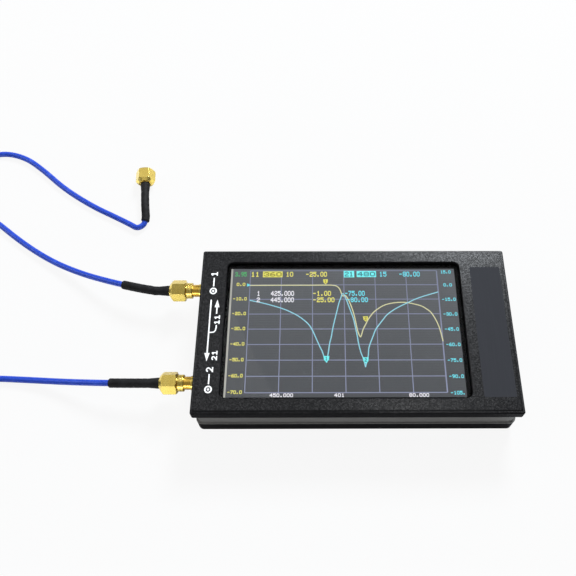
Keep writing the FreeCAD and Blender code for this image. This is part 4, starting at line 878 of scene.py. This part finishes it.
class ANALYZER_OT_leads(bpy.types.Operator):
    """Lays both coaxial cords"""

    bl_idname = "analyzer.leads"
    bl_label = "Cords"

    def execute(self, context):
        sizes, colours = context.scene.analyzer_sizes, context.scene.analyzer_colours
        jacket = cord_jacket("cord_jacket", colours.jacket)
        routes = {
            "lead_1": (LEAD_1, ("lead_1_cable",)),
            "lead_2": (
                (*LEAD_2_OUT, *coil_route(), *LEAD_2_TAIL),
                ("lead_2_cable", "lead_2_coil", "lead_2_tail"),
            ),
        }
        for name, (route, nodes) in routes.items():
            data = bpy.data.curves.new(name + "_cord", "CURVE")
            data.dimensions = "3D"
            spline = data.splines.new("NURBS")
            spline.points.add(len(route) - 1)
            for point, place in zip(spline.points, route):
                point.co = (*(part * MM for part in place), 1.0)
            spline.order_u = 3
            spline.use_endpoint_u = True
            spline.resolution_u = 10
            data.bevel_depth = sizes.cord_diameter / 2
            data.bevel_resolution = 6
            data.use_fill_caps = True
            data.materials.append(jacket)
            cord = add_object(context, name + "_cord", data)
            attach(cord, "case")
            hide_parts(*nodes)
        return {"FINISHED"}


class ANALYZER_OT_sleeves(bpy.types.Operator):
    """Shrinks a tapered sleeve over each end of both cords"""

    bl_idname = "analyzer.sleeves"
    bl_label = "Sleeves"

    # In millimetres: how far the sleeve starts before the cord's first point, the reaches from
    # there where it stops lying on the ferrule and where it lies on the cord, and its bore on each.
    BACK = 1.65
    FERRULE_END, TAPER_END = 6.15, 7.95
    FERRULE_BORE, CORD_BORE = 1.805, 1.31
    LENGTHS = {"lead_1_near": 21.6, "lead_1_far": 20.2, "lead_2_near": 20.8, "lead_2_far": 21.2}

    def execute(self, context):
        sizes, colours = context.scene.analyzer_sizes, context.scene.analyzer_colours
        rubber = shrink_rubber("shrink_rubber", colours.sleeve)
        lip = sizes.sleeve_lip / MM
        for lead in ("lead_1", "lead_2"):
            cord = bpy.data.objects[lead + "_cord"]
            line = line_of(cord)
            corners = [point.co.xyz for point in cord.data.splines[0].points]
            for end in ("near", "far"):
                if end == "far":
                    line.reverse()
                    corners.reverse()
                straight = (corners[1] - corners[0]).normalized()
                points = [line[0] - straight * self.BACK * MM, *line]
                plug = "%s_%s" % (lead, end)
                shape = bmesh.new()
                self.shrink(shape, points, straight, lip, self.LENGTHS[plug])
                sleeve = add_mesh(context, plug + "_shrink", shape, rubber, 50)
                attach(sleeve, "case")
                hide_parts(plug + "_sleeve")
        return {"FINISHED"}

    def radius(self, reach):
        """Outside radius at that reach from the plug."""
        wrinkle = 0.022 * math.sin(reach * 2.3) + 0.015 * math.sin(reach * 5.9 + 1)
        return 2.19 - 0.30 * eased(reach, 0.4, 4.8) + wrinkle

    def shrink(self, shape, points, straight, lip, whole):
        """Sleeve of that whole length along a line whose first part is straight."""
        stride, steps = 0.3, 28
        reaches = [0.0, 0.12]
        while reaches[-1] < whole - lip - stride:
            reaches.append(reaches[-1] + stride)
        last = reaches[-1]
        outside = [(0.0, self.radius(0) - 0.1)]
        outside += [(reach, self.radius(reach)) for reach in reaches[1:]]
        for turn in (20, 40, 60, 80):
            angle = math.radians(turn)
            fall = lip * (1 - math.cos(angle)) * 0.9
            outside.append((last + lip * math.sin(angle), self.radius(last) - fall))
        on_cord = [(last + lip, self.CORD_BORE), (self.TAPER_END, self.CORD_BORE)]
        on_ferrule = [(self.FERRULE_END, self.FERRULE_BORE), (0, self.FERRULE_BORE)]
        profile = outside + on_cord + on_ferrule
        spots = walk(points, sorted(reach * MM for reach, radius in profile))
        by_reach = dict(zip(sorted(reach for reach, radius in profile), spots))
        turns = [2 * math.pi * step / steps for step in range(steps)]
        loops = []
        for reach, radius in profile:
            middle, run = by_reach[reach]
            # The ferrule is straight, so the sleeve starts to follow the cord behind it.
            hold = min(max((self.TAPER_END - reach) / (self.TAPER_END - self.FERRULE_END), 0), 1)
            middle = middle.lerp(points[0] + straight * reach * MM, hold)
            side = run.cross(Vector((0, 0, 1))).normalized()
            up = side.cross(run)
            spokes = (side * math.cos(turn) + up * math.sin(turn) for turn in turns)
            loops.append([shape.verts.new(middle + spoke * radius * MM) for spoke in spokes])
        join_loops(shape, *loops, loops[0])


class ANALYZER_OT_declare(bpy.types.Operator):
    bl_idname = "analyzer.declare"
    bl_label = "Cord facts"

    # Where each cord leaves its port, and its real length, in metres.
    FACTS = (
        ("lead_1", (-0.080, 0.022, 0.011), 0.264),
        ("lead_2", (-0.080, -0.0193, 0.011), 0.262),
    )

    def execute(self, context):
        return {"FINISHED"}


class ANALYZER_OT_plugs(bpy.types.Operator):
    """Finishes the four coaxial plugs"""

    bl_idname = "analyzer.plugs"
    bl_label = "Plugs"

    def execute(self, context):
        gold = gold_plate("plug_gold", context.scene.analyzer_colours.gold)
        white = white_insulator("plug_insulator")
        for plug in ("lead_1_near", "lead_1_far", "lead_2_near", "lead_2_far"):
            finish_nodes(gold, plug + "_nut", plug + "_body", plug + "_pin")
            finish_nodes(white, plug + "_insulator")
        return {"FINISHED"}


class ANALYZER_OT_ports(bpy.types.Operator):
    """Turns the threaded port jacks"""

    bl_idname = "analyzer.ports"
    bl_label = "Ports"

    # Outline of the jack in millimetres: (along, radius) at its mouth, from the end of the thread
    # over the collar, past the neck, and back through the bore.
    MOUTH = ((-2.0, 2.33), (-2.0, 2.8), (-1.62, 3.16))
    COLLAR = (
        (2.45, 2.8), (2.5, 3.2), (2.62, 3.36), (3.6, 3.36), (3.66, 3.28), (3.78, 3.28),
        (3.84, 3.36), (4.76, 3.36), (4.9, 3.24), (4.9, 2.62),
    )
    NECK = ((5.05, 2.6), (7.55, 2.6), (7.7, 2.62), (7.7, 2.78), (7.77, 2.85), (13.4, 2.85))
    BORE = ((13.4, 2.05), (0.0, 2.05), (0.0, 2.33))
    THREAD_START, THREAD_END, THREAD_STEP, THREAD_RADIUS = -1.5, 2.4, 0.0985, 3.17
    # The flange behind the neck: its two faces, half its side, and its hole.
    FLANGE, HALF_SIDE, HOLE = (13.4, 15.1), 3.2, 2.05

    def execute(self, context):
        sizes = context.scene.analyzer_sizes
        # The ports' gold carries painted shade on the necks.
        gold = gold_plate("port_gold", context.scene.analyzer_colours.gold, shaded_necks=True)
        white = white_insulator("port_insulator")
        profile = [(along, radius, 0) for along, radius in self.MOUTH]
        along = self.THREAD_START
        while along < self.THREAD_END:
            profile.append((along, self.THREAD_RADIUS, sizes.thread_depth / MM))
            along += self.THREAD_STEP
        rest = (*self.COLLAR, *self.NECK, *self.BORE)
        profile += [(along, radius, 0) for along, radius in rest]
        for port in ("port_1", "port_2"):
            low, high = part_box(port + "_jack")
            x = low.x / MM - self.MOUTH[0][0]
            middle = (x, (low.y + high.y) / 2 / MM, (low.z + high.z) / 2 / MM)
            shape = bmesh.new()
            add_turned(shape, profile, middle, sizes.thread_pitch / MM)
            self.add_flange(shape, middle)
            jack = add_mesh(context, port + "_thread", shape, gold, 38)
            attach(jack, "case")
            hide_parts(port + "_jack")
            finish_nodes(gold, port + "_contact")
            finish_nodes(white, port + "_insulator")
        return {"FINISHED"}

    def add_flange(self, shape, middle):
        """Square flange with its bore and the four legs behind it."""
        x, y, z = middle
        side, corners = self.HALF_SIDE, 32
        loops = []
        for along in self.FLANGE:
            inner, outer = [], []
            for step in range(corners):
                turn = 2 * math.pi * (step + 0.5) / corners
                across, up = math.cos(turn), math.sin(turn)
                edge = side / max(abs(across), abs(up))
                for loop, reach in ((inner, self.HOLE), (outer, edge)):
                    place = Vector((x + along, y + reach * across, z + reach * up)) * MM
                    loop.append(shape.verts.new(place))
            loops += [inner, outer]
        front_in, front_out, back_in, back_out = loops
        join_loops(shape, front_in, front_out, back_out, back_in, front_in)
        left, right = x + self.FLANGE[1] - 0.05, x + 18.6
        for across in (-1, 1):
            near, far = sorted((side * across, (side - 1.0) * across))
            for low, high in ((-0.38, 0.62), (-side, -1.98)):
                add_block(shape, left, y + near, right, y + far, z + low, z + high)


class ANALYZER_OT_case(bpy.types.Operator):
    """Paints both covers and the side frame"""

    bl_idname = "analyzer.case"
    bl_label = "Case"

    def execute(self, context):
        colours = context.scene.analyzer_colours
        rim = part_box("front_cover")[1]
        finish_nodes(powder_paint("front_paint", colours.cover, (rim.x, rim.y)), "front_cover")
        finish_nodes(powder_paint("rear_paint", colours.cover), "rear_cover")
        finish_nodes(fine_paint("frame_paint", colours.band), "side_frame")
        finish_nodes(
            plain_metal("screw_steel", (0.10, 0.10, 0.105), 0.32), "case_screws", "board_screws"
        )
        finish_nodes(foam("gasket_foam"), "window_gasket")
        return {"FINISHED"}


class ANALYZER_OT_display(bpy.types.Operator):
    """Lights the display and bonds the touch glass over it"""

    bl_idname = "analyzer.display"
    bl_label = "Display"

    def execute(self, context):
        sizes, colours = context.scene.analyzer_sizes, context.scene.analyzer_colours
        finish_nodes(display("lcd_light", colours.lcd), "lcd_panel")
        low, high = (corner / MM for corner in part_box("touch_glass"))
        shape = bmesh.new()
        under = LCD_TOP + sizes.glass_gap / MM
        add_block(shape, low.x, low.y, high.x, high.y, under, GLASS_TOP)
        bmesh.ops.bevel(
            shape, geom=shape.edges[:], offset=sizes.glass_edge, segments=2, affect="EDGES"
        )
        glass = add_mesh(context, "touch_pane", shape, touch_glass("touch_glass"), 20)
        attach(glass, "case")
        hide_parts("touch_glass")
        return {"FINISHED"}


# Where the grid's lines stand, from the left and from the far side, in millimetres.
GRID_COLUMNS = [-43.3 + 13.05 * step for step in range(7)]
GRID_ROWS = [26.98 - 6.665 * step for step in range(9)]


class ANALYZER_OT_graph(bpy.types.Operator):
    """Draws the grid, both traces and the plain numbers on the display"""

    bl_idname = "analyzer.graph"
    bl_label = "Graph"

    # Levels above the display in millimetres, so that nothing drawn on it coincides: the grid,
    # each side's trace, and above its trace each side's numbers and the plain ones.
    GRID_LEVEL, LEFT_LEVEL, RIGHT_LEVEL = 0.01, 0.03, 0.062
    LEFT_LIFT, RIGHT_LIFT, PLAIN_LIFT = 0.016, 0.004, 0.018
    # Height of a line or number, and the levels of a dark number on a box or marker.
    HEIGHT, DARK = 0.012, (0.013, 0.016)
    # How bright numbers, boxes and the dark numbers on them are, as shares of a side's colour.
    NUMBER_SHARE, DARK_SHARE = 1.05, 0.32
    BOX_SHARE = {"left": 0.92, "right": 1.2}
    # Each trace is drawn in arms that meet at its sharp turns.
    LEFT_TRACE = (
        (
            (-43.3, 20.1), (-30.0, 20.15), (-18.0, 20.15), (-10.5, 20.2), (-8.5, 20.05),
            (-7.2, 19.7), (-6.15, 18.7), (-5.6, 17.5), (-5.2, 16.1), (-4.85, 15.3), (-4.4, 15.0),
        ),
        (
            (-4.4, 15.0), (-3.8, 15.5), (-2.7, 14.0), (-1.45, 10.9), (-0.2, 6.4), (0.9, 0.15),
            (1.55, -2.2), (2.15, -3.3),
        ),
        (
            (2.15, -3.3), (2.75, -1.6), (3.2, 0.0), (4.45, 2.5), (5.5, 4.55), (7.3, 7.15),
            (9.3, 9.0), (11.9, 10.7), (14.7, 11.65), (18.2, 12.15), (22.0, 12.0), (27.0, 10.7),
            (29.3, 9.35), (31.2, 7.65), (32.7, 4.9), (33.6, 2.5), (34.3, -0.1), (35.1, -5.1),
        ),
    )
    RIGHT_TRACE = (
        (
            (-43.1, 13.2), (-36.8, 11.7), (-30.1, 9.6), (-25.8, 7.7), (-22.2, 5.5), (-18.9, 2.5),
            (-17.1, -0.5), (-15.3, -4.8), (-14.2, -7.4), (-13.3, -9.3), (-12.4, -12.2),
            (-11.55, -14.1),
        ),
        (
            (-11.55, -14.1), (-10.8, -9.3), (-10.3, -5.9), (-9.6, -3.0), (-9.1, 0.0), (-8.3, 3.7),
            (-7.3, 7.9), (-6.4, 11.7), (-5.5, 14.4), (-4.95, 16.1),
        ),
        (
            (-4.95, 16.1), (-4.45, 16.1), (-3.6, 14.4), (-1.85, 9.05), (-0.57, 4.9), (0.3, 0.2),
            (0.85, -3.0), (1.25, -6.0), (2.05, -9.8), (3.05, -12.7), (3.7, -16.0),
        ),
        (
            (3.7, -16.0), (4.3, -13.6), (4.9, -11.3), (5.3, -7.9), (6.3, -5.0), (7.3, -2.5),
            (8.3, 0.0), (10.2, 2.7), (11.6, 4.55), (13.25, 6.6), (15.9, 8.65), (18.75, 10.35),
            (21.9, 11.95), (25.1, 13.55), (28.6, 14.9), (34.9, 16.9),
        ),
    )
    # Markers: number, tip and height.
    LEFT_FLAGS = (("1", (-11.8, 20.5), 2.4), ("2", (4.4, 3.5), 2.4))
    RIGHT_FLAGS = (("1", (-11.65, -14.0), 2.7), ("2", (3.9, -14.6), 2.7))
    # Plain numbers: text and the box that it fills.
    LEFT_HEAD = (
        ("11", (-43.0, 24.2, -39.6, 26.4)), ("10", (-28.3, 24.2, -25.4, 26.4)),
        ("-25.00", (-19.9, 24.2, -11.2, 26.4)), ("-1.00", (-16.9, 15.25, -9.6, 17.4)),
        ("-25.00", (-16.9, 12.35, -8.2, 14.4)),
    )
    RIGHT_HEAD = (
        ("15", (10.9, 24.2, 13.8, 26.4)), ("-80.00", (19.3, 24.2, 27.8, 26.4)),
        ("-75.00", (-3.7, 15.25, 4.4, 17.4)), ("-80.00", (-2.9, 12.35, 5.6, 14.4)),
    )
    # Filled boxes of the head row with the number that each one holds.
    LEFT_BOXES = (("360", (-38.1, 23.9, -29.8, 26.7)),)
    RIGHT_BOXES = (("21", (-4.1, 23.8, 0.3, 26.9)), ("480", (1.3, 23.9, 9.5, 26.8)))
    READOUT = (
        ("1", (-40.2, 15.25, -38.9, 17.4)), ("425.000", (-34.4, 15.25, -24.9, 17.4)),
        ("2", (-40.2, 12.35, -38.9, 14.4)), ("445.000", (-34.4, 12.35, -24.9, 14.4)),
        ("450.000", (-33.6, -28.05, -24.6, -26.7)), ("401", (-8.7, -28.05, -4.8, -26.7)),
        ("80.000", (20.2, -28.05, 27.8, -26.7)),
    )
    CHARGE = (("3.95", (-49.7, 24.3, -44.9, 26.3)),)
    # The small arrow head on the left edge of the grid.
    ARROW = ((-44.5, 19.5), (-43.0, 20.25), (-44.5, 21.0))

    def execute(self, context):
        sizes, colours = context.scene.analyzer_sizes, context.scene.analyzer_colours
        self.draw_grid(context, sizes.grid_width / MM / 2, colours.grid)
        low = LCD_TOP + self.LEFT_LEVEL
        self.draw_trace(context, "left", self.LEFT_TRACE, colours.left_trace, low)
        self.draw_numbers(
            context, "left", (*self.LEFT_HEAD, *self.left_scale()), colours.left_number,
            low + self.LEFT_LIFT, self.LEFT_FLAGS, self.LEFT_BOXES,
        )
        low = LCD_TOP + self.RIGHT_LEVEL
        self.draw_trace(context, "right", self.RIGHT_TRACE, colours.right_trace, low)
        self.draw_numbers(
            context, "right", (*self.RIGHT_HEAD, *self.right_scale()), colours.right_number,
            low + self.RIGHT_LIFT, self.RIGHT_FLAGS, self.RIGHT_BOXES,
        )
        low += self.PLAIN_LIFT
        self.draw_numbers(context, "plain", self.READOUT, colours.readout, low)
        self.draw_numbers(context, "charge", self.CHARGE, colours.charge, low)
        return {"FINISHED"}

    def show(self, context, name, shape, material):
        piece = add_mesh(context, name, shape, material)
        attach(piece, "case")

    def draw_grid(self, context, half, tone):
        """Grid of lines of that half width; the last column is half as wide again."""
        grid, low = bmesh.new(), LCD_TOP + self.GRID_LEVEL
        first, last = GRID_COLUMNS[0], GRID_COLUMNS[-1]
        for x in GRID_COLUMNS:
            side = half if x < last else half * 1.5
            add_block(grid, x - side, GRID_ROWS[-1], x + side, GRID_ROWS[0], low, low + self.HEIGHT)
        for y in GRID_ROWS:
            add_block(grid, first, y - half, last, y + half, low + 0.001, low + 0.011)
        self.show(context, "display_grid", grid, glow("grid_light", tone, 1.3))

    def draw_trace(self, context, side, arms, tone, low):
        shape, width = bmesh.new(), context.scene.analyzer_sizes.trace_width / MM
        for arm in arms:
            add_strip(shape, smoothed(arm, 5), width, low, low + self.HEIGHT)
        self.show(context, side + "_trace", shape, glow(side + "_trace_light", tone))

    def draw_numbers(self, context, side, numbers, tone, low, flags=(), boxes=()):
        """Numbers, markers and filled boxes; what stands on a marker or box is dark."""
        shape, filled, dark = bmesh.new(), bmesh.new(), bmesh.new()
        high, over = low + self.HEIGHT, [low + level for level in self.DARK]
        if side == "right":
            add_prism(shape, self.ARROW, low, high)
        for text, box in numbers:
            add_number(shape, text, box, low, high)
        for text, (x, y), height in flags:
            half, shoulder, top = height * 0.43, y + height * 0.4, y + height
            outline = (
                (x, y), (x + half * 0.85, shoulder), (x + half, top),
                (x - half, top), (x - half * 0.85, shoulder),
            )
            add_prism(filled, outline, low, high)
            inside = (x - 0.42, y + height * 0.32, x + 0.42, y + height * 0.86)
            add_number(dark, text, inside, *over)
        for text, (left, near, right, far) in boxes:
            add_block(filled, left, near, right, far, low, high)
            inside = (left + 0.45, near + 0.45, right - 0.45, far - 0.45)
            add_number(dark, text, inside, *over)
        bright = glow(side + "_number_light", scaled(tone, self.NUMBER_SHARE))
        self.show(context, side + "_numbers", shape, bright)
        if not flags:
            filled.free()
            dark.free()
            return
        shares = (("boxes", filled, self.BOX_SHARE[side]), ("dark_numbers", dark, self.DARK_SHARE))
        for name, piece, share in shares:
            light = glow("%s_%s_light" % (side, name), scaled(tone, share))
            self.show(context, "%s_%s" % (side, name), piece, light)

    def left_scale(self):
        """Numbers from 0 down to -70, each beside its grid line."""
        for step in range(8):
            middle = GRID_ROWS[step + 1] + 0.25
            left, right = (-49.9, -44.4) if step else (-48.8, -45.3)
            yield "%.1f" % (0.0 - 10.0 * step), self.in_row(left, right, middle)

    def right_scale(self):
        """Numbers from 15 down to -105, each beside its grid line."""
        for step in range(9):
            middle = GRID_ROWS[step] - 0.15 if step else 26.3
            value = 15 - 15 * step
            text = "%.1f" % value if value > -100 else "%d." % value
            left = 36.3 if value < 0 else 37.4 if value == 0 else 36.7
            yield text, self.in_row(left, 41.9 if value < 0 else 40.9, middle)

    def in_row(self, left, right, middle):
        """Box of one of the scales' numbers."""
        return (left, middle - 0.68, right, middle + 0.68)


class ANALYZER_OT_legends(bpy.types.Operator):
    """Prints plain marks on the front cover and sets the blank plate"""

    bl_idname = "analyzer.legends"
    bl_label = "Marks"

    # All in millimetres. Print and plate are let into the cover by this much.
    LET_IN = 0.004
    # Each port's sign: near and far end, middle, and number.
    SIGNS = ((14.9, 25.35, -58.05, "1"), (-27.25, -16.7, -57.1, "2"))
    # The arrows' shafts, heads, and the branch of the long one.
    SHAFTS = ((-58.84, -11.0, -58.32, 12.4), (-56.27, 6.1, -55.73, 9.3))
    HEADS = (
        ((-59.6, -10.85), (-58.58, -14.3), (-57.55, -10.85)),
        ((-57.0, 9.0), (-55.0, 9.0), (-56.0, 12.4)),
    )
    BRANCH = ((-58.5, -2.05), (-57.4, -2.05), (-56.4, -1.75), (-55.85, -0.7), (-55.75, 1.1))
    # The arrows' numbers with their near and far end.
    ARROW_NUMBERS = (("11", 1.5, 5.45), ("21", -13.85, -9.85))
    # The plate: left, right, near and far edge, and the radius of its corners.
    PLATE, CORNER = (48.5, 61.0, -29.0, 27.4), 0.5

    def execute(self, context):
        sizes, colours = context.scene.analyzer_sizes, context.scene.analyzer_colours
        low = COVER_TOP - self.LET_IN
        high = low + sizes.ink_height / MM
        ink = bmesh.new()
        for near, far, x, number in self.SIGNS:
            add_ring(ink, x, near + 1.5, 0.93, 1.5, low, high)
            add_prism(ink, circle(x, near + 1.5, 0.46), low, high)
            add_block(ink, x - 0.26, near + 3.6, x + 0.26, far - 2.9, low, high)
            add_printed(ink, number, (x - 1.4, far - 2.0, x + 1.4, far), 0.5, low, high)
        for shaft, head in zip(self.SHAFTS, self.HEADS):
            add_block(ink, *shaft, low, high)
            add_prism(ink, head, low, high)
        # A hair higher than the shaft that it crosses.
        add_strip(ink, smoothed(self.BRANCH), 0.48, low, high + 0.0005)
        for text, near, far in self.ARROW_NUMBERS:
            add_printed(ink, text, (-56.75, near, -54.5, far), 0.46, low, high)
        marks = add_mesh(context, "cover_print", ink, printed_ink("cover_ink", colours.ink))
        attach(marks, "case")

        plate = bmesh.new()
        add_prism(plate, list(self.plate_outline()), low, high)
        blank = add_mesh(context, "blank_plate", plate, satin_plate("plate_satin", colours.plate))
        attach(blank, "case")
        return {"FINISHED"}

    def plate_outline(self):
        """Points round the plate with its small round corners."""
        left, right, near, far = self.PLATE
        corner = self.CORNER
        middles = (
            (right - corner, near + corner, 270), (right - corner, far - corner, 0),
            (left + corner, far - corner, 90), (left + corner, near + corner, 180),
        )
        for x, y, start in middles:
            for step in range(5):
                turn = math.radians(start + 22.5 * step)
                yield (x + corner * math.cos(turn), y + corner * math.sin(turn))


class ANALYZER_OT_controls(bpy.types.Operator):
    """Finishes the power slider, the jog lever, the charging socket and the status light"""

    bl_idname = "analyzer.controls"
    bl_label = "Controls"

    def execute(self, context):
        black = moulded("switch_plastic", (0.014, 0.014, 0.015))
        finish_nodes(black, "power_slider", "jog_carrier", "jog_lever")
        dark = moulded("connector_plastic", (0.030, 0.030, 0.032), 0.5)
        finish_nodes(dark, "jog_switch_body", "power_switch_body", "usb_tongue")
        finish_nodes(plain_metal("socket_tin", (0.56, 0.56, 0.54), 0.28), "usb_socket")
        finish_nodes(light_pipe("status_pipe"), "status_light")
        return {"FINISHED"}


class ANALYZER_OT_inside(bpy.types.Operator):
    """Finishes the board, the battery and what else sits inside"""

    bl_idname = "analyzer.inside"
    bl_label = "Inside"

    def execute(self, context):
        mask = context.scene.analyzer_colours.board
        finish_nodes(circuit_board("board_mask", mask), "main_board")
        finish_nodes(chip_epoxy("chip_epoxy"), "processor", "memory_chip")
        tin = plain_metal("can_tin", (0.60, 0.60, 0.57), 0.30)
        finish_nodes(tin, "port_1_shield", "port_2_shield", "lcd_frame")
        finish_nodes(plain_metal("standoff_brass", (0.78, 0.58, 0.25), 0.26), "board_standoffs")
        finish_nodes(battery_film("battery_film"), "battery")
        finish_nodes(foam("tape_foam"), "battery_tape")
        finish_nodes(flex_film("flex_film"), "lcd_ribbon")
        finish_nodes(
            moulded("socket_plastic", (0.62, 0.60, 0.54), 0.5), "battery_socket", "ribbon_socket"
        )
        return {"FINISHED"}


class ANALYZER_OT_stage(bpy.types.Operator):
    """Lays the white table and sets the studio light"""

    bl_idname = "analyzer.stage"
    bl_label = "Stage"

    # Name, place, aim and sides in metres, power in watts, and colour.
    WHITE, DAYLIGHT = (1.0, 1.0, 1.0), (0.90, 0.95, 1.0)
    LAMPS = (
        ("window_lamp", (0.233, 0.676, 0.666), (0.03, 0.03, 0.0), (0.27, 0.27), 16.8, DAYLIGHT),
        ("ceiling_lamp", (0.130, 0.185, 0.992), (0.026, -0.033, 0.022), (0.12, 0.12), 0.42, WHITE),
        ("front_lamp", (-0.12, -0.86, 0.15), (0.0, 0.0, 0.01), (0.5, 0.2), 2.6, WHITE),
        ("left_lamp", (-0.75, 0.10, 0.50), (-0.05, 0.0, 0.0), (0.4, 0.4), 1.4, WHITE),
        ("plug_lamp", (-0.195, 0.215, 0.43), (-0.085, 0.02, 0.01), (0.15, 0.42), 0.13, WHITE),
    )

    def execute(self, context):
        scene = context.scene
        shape = bmesh.new()
        bmesh.ops.create_grid(shape, x_segments=8, y_segments=8, size=2.5)
        paint = table_top("table_white", scene.analyzer_colours.table)
        table = add_mesh(context, "table", shape, paint)
        # Just under what lies on it, so that their faces don't coincide.
        table.location.z = -0.00004

        world = bpy.data.worlds.new("studio")
        scene.world = world
        world.use_nodes = True
        # The sky gives a soft grey light and looks white to the eye.
        sky = Finish("sky", world.node_tree)
        seen = sky.add("ShaderNodeLightPath", output="Is Camera Ray")
        tone = sky.mix(seen, (0.29, 0.29, 0.29), (0.985, 0.985, 0.985))
        back = sky.add("ShaderNodeBackground", inputs={"Color": tone, "Strength": 1.0})
        sky.add("ShaderNodeOutputWorld", inputs={"Surface": back}, output=None)

        for lamp in self.LAMPS:
            self.add_lamp(context, *lamp)
        scene.view_settings.view_transform = "Standard"
        return {"FINISHED"}

    def add_lamp(self, context, name, place, aim, sides, power, tone):
        data = bpy.data.lights.new(name, "AREA")
        data.shape = "RECTANGLE"
        data.size, data.size_y = sides
        data.energy, data.color = power, tone
        lamp = add_object(context, name, data)
        lamp.location = place
        lamp.rotation_mode = "QUATERNION"
        lamp.rotation_quaternion = (Vector(aim) - Vector(place)).to_track_quat("-Z", "Y")


STEPS = (
    ANALYZER_OT_camera,
    ANALYZER_OT_leads,
    ANALYZER_OT_sleeves,
    ANALYZER_OT_declare,
    ANALYZER_OT_plugs,
    ANALYZER_OT_ports,
    ANALYZER_OT_case,
    ANALYZER_OT_display,
    ANALYZER_OT_graph,
    ANALYZER_OT_legends,
    ANALYZER_OT_controls,
    ANALYZER_OT_inside,
    ANALYZER_OT_stage,
)


class ANALYZER_PT_sidebar(bpy.types.Panel):
    """Lists the analyzer's steps in the sidebar"""

    bl_idname = "ANALYZER_PT_sidebar"
    bl_label = "Antenna analyzer"
    bl_space_type = "VIEW_3D"
    bl_region_type = "UI"
    bl_category = "Analyzer"

    def draw(self, context):
        for group in (context.scene.analyzer_sizes, context.scene.analyzer_colours):
            column = self.layout.column(align=True)
            for name in group.__annotations__:
                column.prop(group, name)
        for step in STEPS:
            self.layout.operator(step.bl_idname)


CLASSES = (AnalyzerSizes, AnalyzerColours, *STEPS, ANALYZER_PT_sidebar)


def register():
    for kind in CLASSES:
        bpy.utils.register_class(kind)
    bpy.types.Scene.analyzer_sizes = PointerProperty(type=AnalyzerSizes)
    bpy.types.Scene.analyzer_colours = PointerProperty(type=AnalyzerColours)


def unregister():
    del bpy.types.Scene.analyzer_colours
    del bpy.types.Scene.analyzer_sizes
    for kind in reversed(CLASSES):
        bpy.utils.unregister_class(kind)


def main():
    register()
    for step in STEPS:
        group, name = step.bl_idname.split(".")
        getattr(getattr(bpy.ops, group), name)()


if __name__ == "__main__":
    main()
